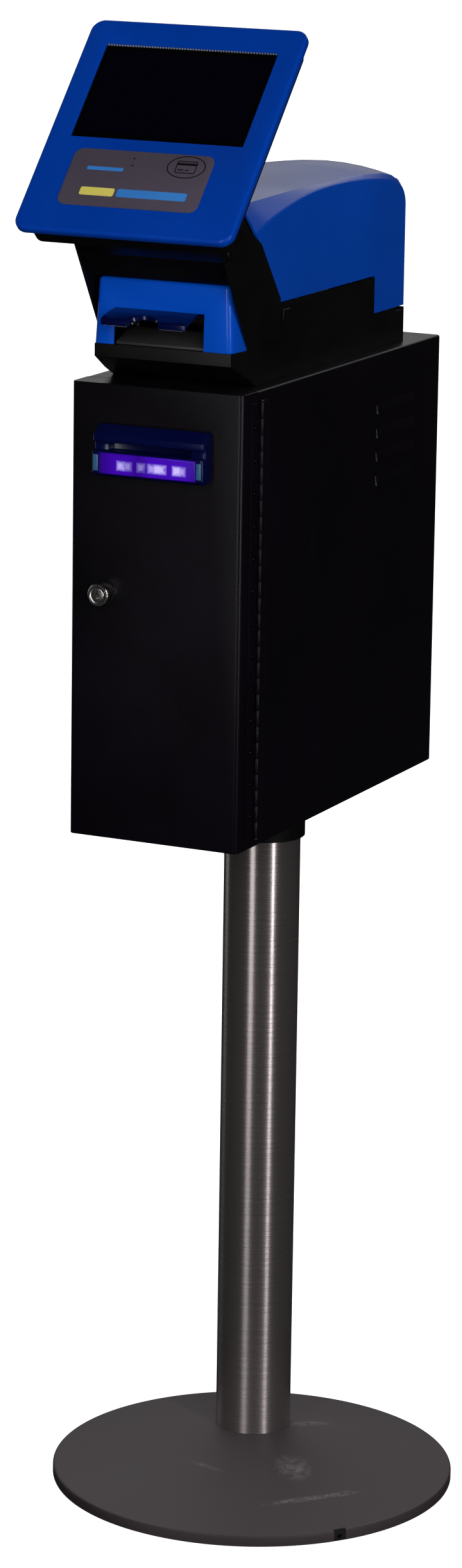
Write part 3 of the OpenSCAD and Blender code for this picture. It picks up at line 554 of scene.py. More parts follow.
def cleanMesh(piece, flat=1.0):
    activate(piece)
    bpy.ops.object.mode_set(mode="EDIT")
    bpy.ops.mesh.select_all(action="SELECT")
    bpy.ops.mesh.remove_doubles(threshold=0.01 * mm)
    bpy.ops.mesh.dissolve_limited(angle_limit=math.radians(flat))
    leaveEdit()


def smoothFaces(piece, angle=35):
    activate(piece)
    bpy.ops.object.shade_smooth_by_angle(angle=math.radians(angle), keep_sharp_edges=True)


def block(name, low, high):
    # a cube stretched between two corners in mm
    low, high = Vector(low) * mm, Vector(high) * mm
    bpy.ops.mesh.primitive_cube_add(size=1, location=(low + high) / 2)
    piece = bpy.context.object
    piece.name = name
    piece.scale = high - low
    bpy.ops.object.transform_apply(location=True, rotation=True, scale=True)
    return piece


def disc(name, radius, low, high, at, axis="Z", sides=96):
    # a cylinder from low to high along its axis, at is where the axis stands, all in mm
    centre = {"X": ((low + high) / 2, *at), "Y": (at[0], (low + high) / 2, at[1]), "Z": (*at, (low + high) / 2)}[axis]
    turn = {"X": (0, math.pi / 2, 0), "Y": (math.pi / 2, 0, 0), "Z": (0, 0, 0)}[axis]
    bpy.ops.mesh.primitive_cylinder_add(vertices=sides, radius=radius * mm, depth=(high - low) * mm,
                                        location=Vector(centre) * mm, rotation=turn)
    piece = bpy.context.object
    piece.name = name
    bpy.ops.object.transform_apply(location=True, rotation=True, scale=True)
    return piece


def outline(name, points, start, end):
    # an extruded outline of (y, z) points in mm, from start to end along X
    bpy.ops.mesh.primitive_circle_add(vertices=len(points), radius=1, fill_type="NGON")
    piece = bpy.context.object
    piece.name = name
    for vertex, (y, z) in zip(piece.data.vertices, points):
        vertex.co = Vector((start, y, z)) * mm
    selectInside(piece, "faces", lambda centre, normal: True)
    bpy.ops.mesh.extrude_region_move(TRANSFORM_OT_translate={"value": ((end - start) * mm, 0, 0)})
    bpy.ops.mesh.select_all(action="SELECT")
    bpy.ops.mesh.normals_make_consistent(inside=False)
    leaveEdit()
    return piece


def turned(name, profile, at, axis="Z", steps=96):
    # a ring turned from a closed profile of (radius, height) points in mm
    bpy.ops.mesh.primitive_circle_add(vertices=len(profile), radius=1)
    piece = bpy.context.object
    piece.name = name
    for vertex, (radius, height) in zip(piece.data.vertices, profile):
        vertex.co = Vector((radius, 0, height)) * mm
    modify(piece, "SCREW", angle=math.tau, steps=steps, render_steps=steps, use_merge_vertices=True,
           merge_threshold=0.005 * mm)
    activate(piece)
    bpy.ops.object.mode_set(mode="EDIT")
    bpy.ops.mesh.select_all(action="SELECT")
    bpy.ops.mesh.remove_doubles(threshold=0.005 * mm)
    bpy.ops.mesh.normals_make_consistent(inside=False)
    leaveEdit()
    turn = {"Z": Matrix.Identity(4), "Y": Matrix.Rotation(math.pi / 2, 4, "X")}[axis]
    piece.matrix_world = Matrix.Translation(Vector(at) * mm) @ turn
    bpy.ops.object.transform_apply(location=True, rotation=True, scale=True)
    return piece


def joinPieces(first, *others):
    activate(first)
    for other in others:
        other.select_set(True)
    bpy.ops.object.join()
    return first


def finishPiece(piece, finish, node=None, body=None, smooth=35):
    # gives the piece its material, body and slot, and lets it stand for its node
    if not isinstance(finish, tuple):
        finish = (finish,)
    piece.data.materials.clear()
    for name in finish:
        piece.data.materials.append(materials[name])
    if smooth:
        smoothFaces(piece, smooth)
    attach(piece, body or nodes[node]["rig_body"])
    if node:
        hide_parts(node)
    return piece


def camel(node):
    first, *rest = node.split("_")
    return first + "".join(word.capitalize() for word in rest)


# nodes whose shape is kept but whose edges are eased: (width in mm, segments, finish)
easedNodes = {
    "cabinet_hinge_leaf": (0.4, 2, "blackCoat"), "door_hinge_leaf": (0.4, 2, "blackCoat"),
    "hinge_pin": (0.3, 2, "blackZinc"), "hinge_screws": (0.3, 2, "blackZinc"),
    "equipment_bracket": (0.4, 2, "zincPlate"), "bill_validator": (1.6, 3, "blackPlastic"),
    "cash_box": (1.4, 3, "grayPlastic"), "cash_box_handle": (0.3, 2, "zincPlate"),
    "power_supply": (0.6, 2, "aluminium"), "controller_board": (0.25, 1, "boardGreen"),
    "swivel_collar": (1.0, 3, "blackPlastic"), "collar_bolts": (0.4, 2, "zincPlate"),
    "base_pad": (0.4, 2, "rubber"), "cable_grommet": (0.8, 3, "rubber"), "lock_cam": (0.4, 2, "zincPlate"),
    "head_base": (1.8, 4, "blackPlastic"), "neck_housing": (0.9, 3, "blackPlastic"),
    "neck_screws": (0.3, 2, "blackCoat"), "ticket_tray": (0.5, 2, "grayPlastic"),
    "printer_chassis": (0.4, 2, "zincPlate"), "print_head": (0.2, 1, "aluminium"),
    "feed_motor": (0.8, 3, "blackCoat"), "motor_pinion": (0.12, 1, "brass"), "idler_gear": (0.15, 1, "nylon"),
    "platen_gear": (0.15, 1, "nylon"), "platen_shaft": (0.3, 2, "zincPlate"), "platen_roller": (0.3, 2, "rubber"),
    "roll_bracket": (0.8, 3, "grayPlastic"), "roll_spindle": (0.6, 2, "grayPlastic"),
    "release_button_right": (0.8, 3, "blackPlastic"), "release_button_left": (0.8, 3, "blackPlastic"),
    "cover_hinge_pin": (0.3, 2, "zincPlate"), "tilt_pin": (1.0, 3, "blackPlastic"),
    "display_bracket": (0.6, 2, "blackPlastic"), "display_back": (2.4, 4, "blackPlastic"),
    "lcd_panel": (0.5, 2, "blackPlastic"), "reader_board": (0.2, 1, "boardGreen"),
}
keptNodes = {"base_screws": "zincPlate", "pole_plug": "zincPlate", "pole_cap": "nylon",
             "collar_set_screws": "zincPlate", "led_board": "boardGreen", "cutter": "steelBlade",
             "paper_web": "paper"}


def easeNodes():
    for node, (width, segments, finish) in easedNodes.items():
        deselectAll()
        piece = bpy.data.objects.new(camel(node), nodes[node].data.copy())
        bpy.context.scene.collection.objects.link(piece)
        cleanMesh(piece)
        softenEdges(piece, width, segments)
        finishPiece(piece, finish, node)
    for node, finish in keptNodes.items():
        for holder in nodes[node].material_slots:
            holder.material = materials[finish]


easeNodes()
print("edges eased on", len(easedNodes), "nodes")


# stand
stand = {"poleSides": 160, "poleWall": 2.0, "poleEase": 0.3, "baseSides": 256, "rimRound": 3.0, "rimUnder": 1.0,
         "notchWide": 12.6, "notchDeep": 10.0, "notchTop": 4.0, "cableRadius": 13.0, "flatFace": 0.75}


def makeStand():
    low, high = (Vector(corner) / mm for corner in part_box("pole_tube"))
    radius, wall, ease = (high.x - low.x) / 2, stand["poleWall"], stand["poleEase"]
    pole = turned("poleTube", [(radius - wall, low.z), (radius - ease, low.z), (radius, low.z + ease),
                               (radius, high.z - ease), (radius - ease, high.z), (radius - wall, high.z)],
                  (0, 0, 0), "Z", stand["poleSides"])
    finishPiece(pole, "brushedPole", "pole_tube")
    low, high = (Vector(corner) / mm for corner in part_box("base_plate"))
    centre, radius = (low + high) / 2, (high.x - low.x) / 2
    base = disc("basePlate", radius, low.z, high.z, (centre.x, centre.y), "Z", stand["baseSides"])
    bevelEdges(base, lambda a, b: min(a.z, b.z) > (high.z - 0.1) * mm, stand["rimRound"], 6)
    bevelEdges(base, lambda a, b: max(a.z, b.z) < (low.z + 0.1) * mm, stand["rimUnder"], 2)
    grommetLow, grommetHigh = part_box("cable_grommet")
    notchAt = (grommetLow + grommetHigh) / 2 / mm
    away = Vector((notchAt.x - centre.x, notchAt.y - centre.y, 0)).normalized()
    for deep, top in ((stand["notchDeep"], high.z - stand["rimRound"]), (stand["notchTop"], high.z + 5)):
        notch = block("notchCutter", (-deep, -stand["notchWide"] / 2, -5), (20, stand["notchWide"] / 2, top))
        notch.matrix_world = Matrix.Translation((Vector((centre.x, centre.y, 0)) + away * radius) * mm) \
            @ Matrix.Rotation(math.atan2(away.y, away.x), 4, "Z")
        cutAway(base, notch)
    cutAway(base, disc("cableCutter", stand["cableRadius"], -5, 30, (0, 0), "Z", 48))
    finishPiece(base, ("baseCoat", "baseRim"), "base_plate", smooth=30)
    # faces that look up get the base coat, the rim's sides its darker copy: painted shade
    for face in base.data.polygons:
        face.material_index = 0 if face.normal.z > stand["flatFace"] else 1


makeStand()
print("stand made")


# cabinet: a folded steel box, open in front, with pressed louvres
cabinet = {"sheet": 1.5, "bend": 2.4, "lip": 10.0, "collarRadius": 42.8, "boltRadius": 3.3, "boltAt": (-48, 48),
           "louvres": (55.3, 79.3, 102.3, 126.3), "louvreAt": 102.0, "louvreLong": 92.0, "louvreOut": 3.0,
           "louvreSheet": 0.9, "louvreRound": 1.2, "louvreTaper": 2.5}


def makeCabinet():
    low, high = (Vector(corner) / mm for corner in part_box("cabinet_shell"))
    half = high.x - cabinet["louvreOut"]
    shell = block("cabinetShell", (-half, low.y, low.z), (half, high.y, high.z))

    def outer(a, b):
        along = abs(a.x - b.x) < 1e-5 and abs(a.z - b.z) < 1e-5
        return along or min(a.y, b.y) > high.y * mm - 1e-5

    bevelEdges(shell, outer, cabinet["bend"], 5)
    deleteFaces(shell, lambda centre, normal: normal.y < -0.9)
    modify(shell, "SOLIDIFY", thickness=cabinet["sheet"] * mm, offset=-1)
    sheet, lip = cabinet["sheet"], cabinet["lip"]
    frameFace = block("frontLips", (-half + 1, low.y, low.z + 1), (half - 1, low.y + sheet, high.z - 1))
    cutAway(frameFace, block("doorway", (-half + lip, low.y - 2, low.z + lip),
                             (half - lip, low.y + 4, high.z - lip)))
    modify(shell, "BOOLEAN", operation="UNION", solver="EXACT", object=frameFace)
    bpy.data.objects.remove(frameFace)
    cutAway(shell, disc("collarHole", cabinet["collarRadius"], low.z - 2, low.z + 4, (0, 0), "Z", 96),
            block("cableHole", (-30, -60, high.z - 5), (30, -20, high.z + 1)),
            *(disc("boltHole", cabinet["boltRadius"], low.z - 2, low.z + 4, (x, y), "Z", 32)
              for x in cabinet["boltAt"] for y in cabinet["boltAt"]))
    hoods = []
    middle, long, taper = cabinet["louvreAt"], cabinet["louvreLong"] / 2, cabinet["louvreTaper"]
    for side in (-1, 1):
        for drop in cabinet["louvres"]:
            z = high.z - drop
            cutAway(shell, block("louvreCut", (side * (half - 3) - 4, middle - long + 1.5, z - 3.5),
                                 (side * (half - 3) + 4, middle + long - 1.5, z + 3)))
            hood = block("louvreHood", (half - 0.6, middle - long, z - 4), (half + 3, middle + long, z + 6))
            for vertex in hood.data.vertices:
                x, y, up = vertex.co / mm
                if x > half + 1 and up > z:
                    vertex.co = Vector((half - 0.1, y + (taper if y < middle else -taper), up)) * mm
            bevelEdges(hood, lambda a, b: min(a.x, b.x) > (half + 2.5) * mm or abs(a.y - b.y) < 3 * mm and
                       abs(a.z - b.z) > 3 * mm and max(a.x, b.x) > (half + 1) * mm, cabinet["louvreRound"], 3)
            deleteFaces(hood, lambda centre, normal: normal.z < -0.9 or normal.x < -0.9)
            modify(hood, "SOLIDIFY", thickness=cabinet["louvreSheet"] * mm, offset=-1)
            if side < 0:
                hood.scale.x = -1
                activate(hood)
                bpy.ops.object.transform_apply(location=False, rotation=False, scale=True)
                bpy.ops.object.mode_set(mode="EDIT")
                bpy.ops.mesh.select_all(action="SELECT")
                bpy.ops.mesh.normals_make_consistent(inside=False)
                leaveEdit()
            hoods.append(hood)
    joinPieces(shell, *hoods)
    finishPiece(shell, "blackCoat", "cabinet_shell")


makeCabinet()
print("cabinet made")


# door and lock
door = {"corner": 5.0, "edgeRound": 0.9, "sheet": 1.5, "holeRadius": 9.6, "bezelHalf": 53.0, "bezelUnder": 9.0,
        "bezelOver": 31.0}
# the lock's plug: out in front of the door and in behind it, key slot half width and half height
lockPlug = {"radius": 6.45, "out": 14.9, "behind": 37.8, "slotHalf": (0.9, 4.4), "wellRadius": 2.0, "wellDown": 1.8}


def makeDoor():
    low, high = (Vector(corner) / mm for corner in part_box("door"))
    lensLow, lensHigh = (Vector(corner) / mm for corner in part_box("bezel_lens"))
    panel = block("doorPanel", low, high)
    front, back = low.y * mm, high.y * mm
    bevelEdges(panel, lambda a, b: abs(a.x - b.x) < 1e-6 and abs(a.y - b.y) < 1e-6 and a.y < front + 1e-6,
               door["corner"], 8)
    bevelEdges(panel, lambda a, b: abs(a.z - b.z) < 1e-6 and min(a.y, b.y) < back - 1e-4 and
               (a.z < low.z * mm + 1e-5 or a.z > high.z * mm - 1e-5), door["edgeRound"], 3)
    deleteFaces(panel, lambda centre, normal: normal.y > 0.9)
    modify(panel, "SOLIDIFY", thickness=door["sheet"] * mm, offset=-1)
    lock = jointAt["lock_turn"]
    lensMid = (lensLow.z + lensHigh.z) / 2
    cutAway(panel, disc("lockHole", door["holeRadius"], low.y - 5, low.y + 8, (lock[0] / mm, lock[2] / mm), "Y"),
            block("bezelHole", (-door["bezelHalf"], low.y - 5, lensMid - door["bezelUnder"]),
                  (door["bezelHalf"], low.y + 8, lensMid + door["bezelOver"])))
    finishPiece(panel, "blackCoat", "door")

    at = (lock[0] / mm, low.y, lock[2] / mm)
    body = turned("lockBody", [(6.6, -26), (9.4, -26), (9.4, 0), (10.8, 0), (11, 0.3), (11, 13.6), (10.7, 14.5),
                               (10.1, 15), (8.7, 15), (8.3, 14.6), (7.9, 14.4), (6.6, 14.4)], at, "Y", 72)
    finishPiece(body, "chrome", "lock_body")
    plug = disc("lockPlug", lockPlug["radius"], low.y - lockPlug["out"], low.y + lockPlug["behind"],
                (at[0], at[2]), "Y", 64)
    bevelEdges(plug, lambda a, b: max(a.y, b.y) < (low.y - lockPlug["out"] + 0.1) * mm, 0.5, 3)
    across, upDown = lockPlug["slotHalf"]
    cutAway(plug, block("keySlot", (at[0] - across, low.y - 17, at[2] - upDown),
                        (at[0] + across, low.y - 8, at[2] + upDown)),
            disc("keyWell", lockPlug["wellRadius"], low.y - 17, low.y - 9, (at[0], at[2] - lockPlug["wellDown"]),
                 "Y", 32))
    finishPiece(plug, "chrome", "lock_plug")


makeDoor()
print("door and lock made")


# banknote slot moulding
slotMoulding = {"half": 58.0, "sideRound": 2.2, "slotHalf": 43.0, "slotLow": -3.2, "slotHigh": 4.0,
                "lensHalf": 50.5, "endFrom": 51.2, "endWide": 5.0, "flangeHalf": 51.0, "flangeDeep": 8.0}


def makeBillBezel():
    low, high = (Vector(corner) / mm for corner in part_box("bill_bezel"))
    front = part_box("door")[0].y / mm
    z = low.z + 28
    half, slotHalf, lensHalf = (slotMoulding[k] for k in ("half", "slotHalf", "lensHalf"))
    slotLow, slotHigh = z + slotMoulding["slotLow"], z + slotMoulding["slotHigh"]
    body = outline("billBezel", [(front, z - 28), (front - 15, z - 28), (front - 19.5, z - 24.5),
                                 (front - 19.5, z - 4), (front - 14, z - 2.8), (front - 14, z + 3.6),
                                 (front - 18, z + 5), (front - 18, z + 11), (front - 6, z + 20), (front, z + 20)],
                   -half, half)
    bevelEdges(body, lambda a, b: abs(a.x - b.x) < 1e-6 and abs(a.x) > (half - 0.1) * mm and
               min(a.y, b.y) < (front - 0.5) * mm, slotMoulding["sideRound"], 4)
    cutAway(body, block("slotCutter", (-slotHalf, front - 30, slotLow), (slotHalf, front - 2, slotHigh)),
            block("lensCutter", (-lensHalf, front - 30, z - 25), (lensHalf, front - 2, z - 5)))
    softenEdges(body, 0.5, 2)
    flangeHalf = slotMoulding["flangeHalf"]
    collar = block("bezelFlange", (-flangeHalf, front, z - 22),
                   (flangeHalf, front + slotMoulding["flangeDeep"], z + 14))
    cutAway(collar, block("flangeCutter", (-slotHalf, front - 3, slotLow), (slotHalf, front + 12, slotHigh)))
    softenEdges(collar, 0.6, 2)
    joinPieces(body, collar)
    finishPiece(body, "smokeBlue", "bill_bezel")

    lensLow, lensHigh = (Vector(corner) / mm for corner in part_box("bezel_lens"))
    lens = block("bezelLens", lensLow, lensHigh)
    bevelEdges(lens, lambda a, b: max(a.y, b.y) < (lensLow.y + 0.1) * mm, 1.0, 3)
    finishPiece(lens, "lensGlow", "bezel_lens")
    for side, name in ((-1, "lensEndLeft"), (1, "lensEndRight")):
        near, far = slotMoulding["endFrom"], slotMoulding["endFrom"] + slotMoulding["endWide"]
        inner, outer = sorted((side * near, side * far))
        end = block(name, (inner, front - 20.3, z - 22.5), (outer, front - 18.5, z - 7))
        softenEdges(end, 0.7, 3)
        finishPiece(end, "clearBlue", body="door")


makeBillBezel()
print("banknote slot made")


# ticket mouth and visor
mouth = {"frontLow": 71.0, "frontTop": 68.0, "backLow": 74.6, "backTop": 72.5, "topBack": 2.5, "cornerRound": 4.2,
         "topRound": 4.0, "wall": 2.5, "left": -51.0, "right": 42.5, "top": 1187.9}
visor = {"fingerY": -270.5, "fingerRadius": 17.0, "teeth": 40, "teethFingerRadius": 18.5}


def makeMouth():
    low, high = (Vector(corner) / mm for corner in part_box("mouth_bezel"))
    shell = block("mouthBezel", low, high)
    for vertex in shell.data.vertices:
        front, top = vertex.co.y < (low.y + 1) * mm, vertex.co.z > (high.z - 1) * mm
        half = mouth["frontTop" if top else "frontLow"] if front else mouth["backTop" if top else "backLow"]
        vertex.co.x = math.copysign(half * mm, vertex.co.x)
        if front and top:
            vertex.co.y += mouth["topBack"] * mm
    bevelEdges(shell, lambda a, b: max(a.y, b.y) < (low.y + 4) * mm and abs(a.z - b.z) > 0.02,
               mouth["cornerRound"], 6)
    bevelEdges(shell, lambda a, b: min(a.z, b.z) > (high.z - 0.1) * mm and min(a.y, b.y) < (high.y - 0.2) * mm,
               mouth["topRound"], 5)
    deleteFaces(shell, lambda centre, normal: normal.y > 0.9 or normal.z < -0.9)
    modify(shell, "SOLIDIFY", thickness=mouth["wall"] * mm, offset=-1)
    cutAway(shell, block("mouthCutter", (mouth["left"], low.y - 5, low.z - 5),
                         (mouth["right"], high.y + 5, mouth["top"])),
            block("seamCutter", (mouth["right"] - 1, low.y - 1, mouth["top"] - 1.3),
                  (mouth["right"] + 11, low.y + 0.9, mouth["top"] - 0.6)))
    softenEdges(shell, 0.5, 2)
    finishPiece(shell, "mouthBlue", "mouth_bezel")

    low, high = (Vector(corner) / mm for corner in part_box("visor"))
    finger = ((low.x + high.x) / 2, visor["fingerY"])
    lip = outline("mouthVisor", [(-228, 1187.8), (-237, 1187.8), (-250, 1185.6), (-264, 1181.8), (-265.5, 1180.4),
                                 (-265.5, 1175.5), (-263, 1175.5), (-262, 1178.4), (-250, 1182.2), (-237, 1185),
                                 (-228, 1185)], low.x, high.x)
    cutAway(lip, disc("fingerCutter", visor["fingerRadius"], 1170, 1190, finger, "Z", 64))
    softenEdges(lip, 0.5, 3, 25)
    tooth = block("tooth", (low.x + 3, -263.2, 1174.4), (low.x + 4, -262.4, 1175.9))
    softenEdges(tooth, 0.2, 1)
    modify(tooth, "ARRAY", count=visor["teeth"], use_relative_offset=False, use_constant_offset=True,
           constant_offset_displace=((high.x - low.x - 7) / (visor["teeth"] - 0.5) * mm, 0, 0))
    cutAway(tooth, disc("fingerCutter", visor["teethFingerRadius"], 1165, 1190, finger, "Z", 64))
    joinPieces(lip, tooth)
    finishPiece(lip, "smokeBlue", "visor")


makeMouth()
print("ticket mouth made")


# printer cover
# creaseAt is (y, x), creaseLine and topLine (y, z); the rear corner is an arc about arcAt
cover = {"half": 75.0, "wall": 2.5, "sideRound": 3.2, "rearRound": 6.0, "arcAt": (128, 1253), "arcRadius": 22.0,
         "roofFrom": 1252.0, "lugs": (-40.5, 40.5), "knuckles": (-33, 33), "barrelRadius": 4.0, "boreRadius": 2.1,
         "creaseAt": ((-197, 59.0), (-175, 60.0), (-93, 64.0), (9, 71.5)),
         "creaseLine": ((-197, 1286.0), (-175, 1287.3), (-93, 1290.6), (9, 1291.8), (60, 1291.2), (100, 1288.5),
                        (128, 1283.5)),
         "topLine": ((-197, 1288.5), (-93, 1294.0), (0, 1296.3), (70, 1297.2), (110, 1296.0), (135, 1293.5),
                     (150, 1290.0)),
         "columns": (-72, -60, -50, -36, -18, 0, 18, 36, 50, 60, 72)}


def lineAt(points, y):
    for (y0, z0), (y1, z1) in zip(points, points[1:]):
        if y <= y1:
            share = max(0.0, (y - y0) / (y1 - y0))
            return z0 + (z1 - z0) * share
    return points[-1][1]


def coverSide(y):
    # height of the side wall's top edge
    return 1290 - (y + 23) ** 2 / (1800 if y > -23 else 970)


def makeCover():
    half, radius, roofFrom = cover["half"], cover["arcRadius"], cover["roofFrom"]
    arcY, arcZ = cover["arcAt"]
    arcPoints = [(arcY + radius * math.cos(math.radians(a)), arcZ + radius * math.sin(math.radians(a)))
                 for a in range(0, 85, 12)]
    stations = [121 - 12.55 * i for i in range(26)]
    points = [(150, 1153.5), (150, 1200), *arcPoints, *[(y, coverSide(y)) for y in stations if y > -192],
              (-193.5, coverSide(-193.5)), (-141, 1190.5), (74.5, 1190.5), (77.2, 1189.7), (78.9, 1187.8),
              (79.5, 1185.5), (79.5, 1153.5)]
    shell = outline("rearCover", points, -half, half)
    for x in cover["columns"]:
        activate(shell)
        bpy.ops.object.mode_set(mode="EDIT")
        bpy.ops.mesh.select_all(action="SELECT")
        bpy.ops.mesh.bisect(plane_co=(x * mm, 0, 0), plane_no=(1, 0, 0))
        leaveEdit()
    # raise the roof: a crease runs back from the front and dies out in the side's edge
    for vertex in shell.data.vertices:
        x, y, z = vertex.co / mm
        if abs(x) > half - 1 or z < roofFrom or (y < -140 and z < coverSide(y) - 1):
            continue
        side = coverSide(min(y, arcY))
        crease, edge, top = (lineAt(cover[k], y) for k in ("creaseAt", "creaseLine", "topLine"))
        if abs(x) > 71:
            newX, target = crease, edge
        else:
            newX = abs(x) / 60 * (crease - 6)
            target = edge + (top - edge) * (1 - (newX / crease) ** 2.0)
        lift = target - side
        if y > arcY:
            lift *= min(1.0, max(0.0, (z - roofFrom) / radius))
        vertex.co = Vector((math.copysign(newX, x), y, z + lift)) * mm

    def onCrease(point):
        return abs(abs(point.x) / mm - lineAt(cover["creaseAt"], point.y / mm)) < 0.3

    selectInside(shell, "edges", lambda a, b: onCrease(a) and onCrease(b) and max(a.y, b.y) < 0.012 and
                 min(a.z, b.z) > 1.25 and abs(a.y - b.y) > 0.002)
    bpy.ops.mesh.mark_sharp()
    leaveEdit()
    deleteFaces(shell, lambda centre, normal: normal.z < -0.3 or (normal.y < -0.5 and 0.07 < centre.y < 0.085))

    def rim(a, b):
        return min(abs(a.x), abs(b.x)) > (half - 0.1) * mm and a.x * b.x > 0

    bevelEdges(shell, lambda a, b: rim(a, b) and min(a.y, b.y) > 0.1279 and min(a.z, b.z) > 1.15 and
               (max(a.z, b.z) < 1.2751) and abs(a.z - b.z) > 0.001, cover["rearRound"], 6)
    bevelEdges(shell, lambda a, b: rim(a, b) and min(a.z, b.z) > 1.2595 and max(a.y, b.y) < 0.1285 and
               abs(a.y - b.y) > 0.002, cover["sideRound"], 4)
    modify(shell, "SOLIDIFY", thickness=cover["wall"] * mm, offset=-1, use_quality_normals=True)
    hinge = jointAt["cover_lift"]
    hingeY, hingeZ = hinge[1] / mm, hinge[2] / mm
    cutAway(shell, *(block("lugCutter", (x - 4, 130, 1140), (x + 4, 160, hingeZ + 6)) for x in cover["lugs"]))
    knuckles = []
    for x in cover["knuckles"]:
        barrel = disc("knuckle", cover["barrelRadius"], x - 3, x + 3, (hingeY, hingeZ), "X", 40)
        arm = block("knuckleArm", (x - 3, hingeY, hingeZ - 4), (x + 3, 148.5, hingeZ + 4))
        modify(barrel, "BOOLEAN", operation="UNION", solver="EXACT", object=arm)
        bpy.data.objects.remove(arm)
        cutAway(barrel, disc("knuckleBore", cover["boreRadius"], x - 5, x + 5, (hingeY, hingeZ), "X", 32))
        softenEdges(barrel, 0.3, 2)
        knuckles.append(barrel)
    joinPieces(shell, *knuckles)
    finishPiece(shell, "coverBlue", "rear_cover", smooth=42)


makeCover()
print("printer cover made")


# paper roll with its wound edge
roll = {"boreRadius": 8.05, "rings": (14, 22, 31, 40), "ringWide": 0.5, "ringDeep": 0.25, "edgeRound": 0.5}


def makeRoll():
    low, high = (Vector(corner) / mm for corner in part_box("paper_roll"))
    y, z = (low.y + high.y) / 2, (low.z + high.z) / 2
    radius = (high.z - low.z) / 2
    paper = disc("paperRoll", radius, low.x, high.x, (y, z), "X", 128)
    cutAway(paper, disc("rollBore", roll["boreRadius"], low.x - 2, high.x + 2, (y, z), "X", 64))
    wide, deep = roll["ringWide"], roll["ringDeep"]
    for ring in roll["rings"]:
        for side in (low.x, high.x):
            groove = turned("groove", [(ring, -deep), (ring + wide, -deep), (ring + wide, deep), (ring, deep)],
                            (0, 0, 0), "Z", 64)
            groove.matrix_world = Matrix.Translation(Vector((side, y, z)) * mm) @ Matrix.Rotation(math.pi / 2, 4, "Y")
            cutAway(paper, groove)
    bevelEdges(paper, lambda a, b: abs(a.x - b.x) < 1e-6 and min((a - Vector((a.x, y * mm, z * mm))).length,
               (b - Vector((b.x, y * mm, z * mm))).length) > (radius - 0.2) * mm, roll["edgeRound"], 2)
    finishPiece(paper, "paper", "paper_roll")


makeRoll()
print("paper roll made")


# display panel: pieces are made flat at the origin, z towards the user, then tilted into place
panel = {"tilt": 47.4, "wide": 223.7, "high": 243.8, "thick": 8.0, "corner": 13.0, "rimRound": 3.4,
         "windowWide": 177.7, "windowHigh": 108.3, "windowUp": 39.7, "glassDeep": 2.52, "glassBack": 4.52,
         "glassOver": 6.0, "maskWide": 12.0, "beads": 62, "beadStep": 2.84}
# the label under the screen: its size, place and thickness, then each printed mark as (wide, tall, at, corner)
label = {"plate": (143.6, 64, (-4.2, -60.2)), "ink": (0.83, 0.95), "iconAt": (41.5, -42.3),
         "yellowBar": (35, 9, (-38.5, -76), 2.0), "blueBar": (71, 9, (17.5, -76), 2.0),
         "smallBar": (37, 4, (-39, -50), 1.2), "stripe": (19.6, 2.6, (41.5, -39.0), 0.3),
         "dash": (6, 1.2, (36.5, -45.6), 0.4), "dashShort": (3.5, 1.2, (43, -45.6), 0.4),
         "pinHoles": ((-13.7, -36.4), (-12.8, -44.5))}


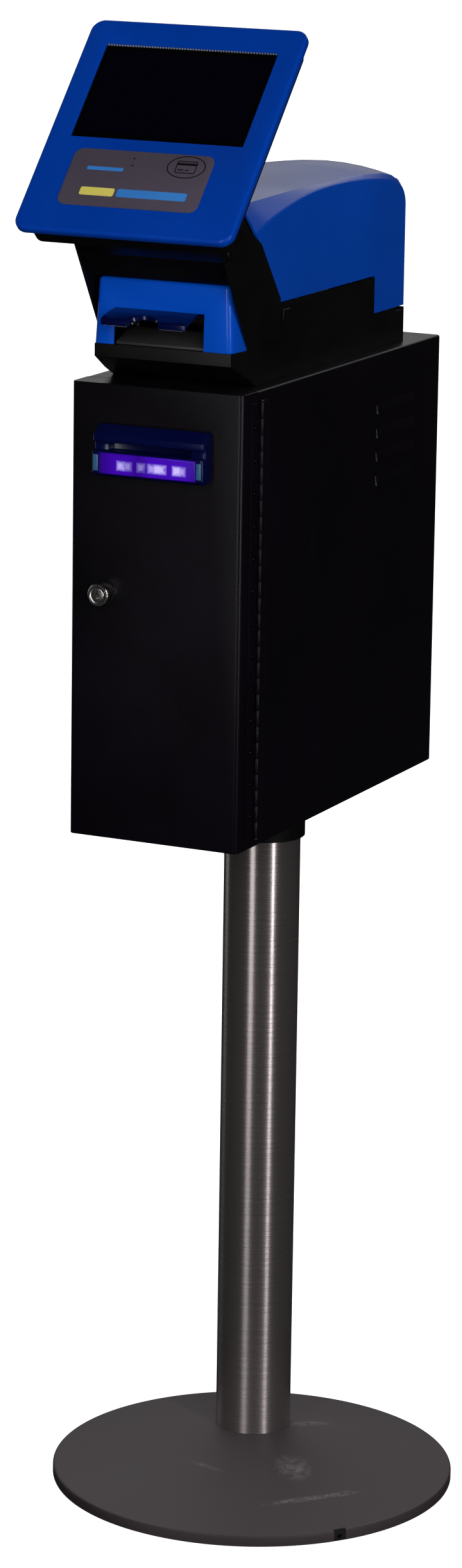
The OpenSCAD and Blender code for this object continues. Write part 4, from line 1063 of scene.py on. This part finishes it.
def makeDisplay():
    low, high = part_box("display_frame")
    tilt = Matrix.Rotation(math.radians(panel["tilt"]), 4, "X")
    centre = (low + high) / 2 + tilt @ Vector((0, 0, panel["thick"] / 2 * mm))
    place = Matrix.Translation(centre) @ tilt

    def mountOnPanel(piece):
        activate(piece)
        piece.matrix_world = place @ piece.matrix_world
        bpy.ops.object.transform_apply(location=True, rotation=True, scale=True)
        return piece

    def upright(a, b):
        return abs(a.x - b.x) < 1e-6 and abs(a.y - b.y) < 1e-6

    def plate(name, wide, tall, at, bottom, top, corner, rim=0.0):
        piece = block(name, (at[0] - wide / 2, at[1] - tall / 2, bottom), (at[0] + wide / 2, at[1] + tall / 2, top))
        bevelEdges(piece, upright, corner, 8)
        if rim:
            bevelEdges(piece, lambda a, b: min(a.z, b.z) > top * mm - 1e-6, rim, 2)
        return piece

    wide, tall, up = panel["wide"], panel["high"], panel["windowUp"]
    face = block("displayFrame", (-wide / 2, -tall / 2, -panel["thick"]), (wide / 2, tall / 2, 0))
    bevelEdges(face, upright, panel["corner"], 10)
    bevelEdges(face, lambda a, b: min(a.z, b.z) > -1e-6, panel["rimRound"], 6)
    bevelEdges(face, lambda a, b: max(a.z, b.z) < -panel["thick"] * mm + 1e-6, 1.0, 2)
    cutAway(face, plate("hollowCutter", wide - 12, tall - 12, (0, 0), -panel["thick"] - 1, -2.5, 8.0),
            block("windowCutter", (-panel["windowWide"] / 2, up - panel["windowHigh"] / 2, -6),
                  (panel["windowWide"] / 2, up + panel["windowHigh"] / 2, 2)))
    halfWide, halfHigh = panel["windowWide"] / 2, panel["windowHigh"] / 2
    bevelEdges(face, lambda a, b: min(a.z, b.z) > -1e-5 and max(abs(a.x), abs(b.x)) < halfWide * mm + 1e-5
               and max(a.y, b.y) < (up + halfHigh) * mm + 1e-5
               and min(a.y, b.y) > (up - halfHigh) * mm - 1e-5, 1.0, 2)
    finishPiece(mountOnPanel(face), "panelBlue", "display_frame")

    glassWide, glassHigh = halfWide + panel["glassOver"], halfHigh + panel["glassOver"]
    glass = block("touchGlass", (-glassWide, up - glassHigh, -panel["glassBack"]),
                  (glassWide, up + glassHigh, -panel["glassDeep"]))
    selectInside(glass, "faces", lambda middle, normal: normal.z > 0.9)
    bpy.ops.mesh.inset(thickness=panel["maskWide"] * mm, depth=0)
    leaveEdit()
    bevelEdges(glass, lambda a, b: upright(a, b) and abs(a.z - b.z) > 1e-4, 3.0, 6)
    finishPiece(glass, ("screenMask", "screenDark"), "touch_glass")
    for face in glass.data.polygons:
        if face.normal.z > 0.9 and abs(face.center.x) < 0.01 and abs(face.center.y - up * mm) < 0.01:
            face.material_index = 1
    mountOnPanel(glass)

    bead = block("sensorStrip", (-87.6, up + halfHigh - 1.5, -2.4), (-85.9, up + halfHigh - 0.15, -1.0))
    softenEdges(bead, 0.3, 2)
    modify(bead, "ARRAY", count=panel["beads"], use_relative_offset=False, use_constant_offset=True,
           constant_offset_displace=(panel["beadStep"] * mm, 0, 0))
    finishPiece(mountOnPanel(bead), "stripGray", body="display")

    holder = plate("labelPlate", *label["plate"], 0.02, 0.82, 9.0, 0.25)
    finishPiece(mountOnPanel(holder), "plateGray", "label_plate")

    def printed(name, mark):
        wide, tall, at, corner = label[mark]
        return plate(name, wide, tall, at, *label["ink"], corner)

    finishPiece(mountOnPanel(printed("labelBarYellow", "yellowBar")), "inkYellow", body="display")
    blue = joinPieces(printed("labelBarBlue", "blueBar"), printed("smallBar", "smallBar"))
    finishPiece(mountOnPanel(blue), "inkBlue", body="display")
    iconAt = label["iconAt"]
    card = plate("labelCard", 21, 14, iconAt, *label["ink"], 2.0)
    cutAway(card, plate("cardCutter", 19.2, 12.2, iconAt, 0.5, 1.5, 1.2))
    ovals = []
    for scale in ((19.5, 12.6, 0.12), (18.5, 11.6, 1)):
        bpy.ops.mesh.primitive_cylinder_add(vertices=96, radius=1, depth=1, location=Vector((*iconAt, 0.89)) * mm)
        oval = bpy.context.object
        oval.name = "labelRing"
        oval.scale = Vector(scale) * mm
        activate(oval)
        bpy.ops.object.transform_apply(location=True, rotation=True, scale=True)
        ovals.append(oval)
    cutAway(*ovals)
    marks = [ovals[0], printed("cardStripe", "stripe"), printed("cardDash", "dash"),
             printed("cardDashShort", "dashShort")]
    marks += [disc("pinHole", 0.9, *label["ink"], at, "Z", 24) for at in label["pinHoles"]]
    joinPieces(card, *marks)
    finishPiece(mountOnPanel(card), "inkDark", body="display")


makeDisplay()
print("display made")
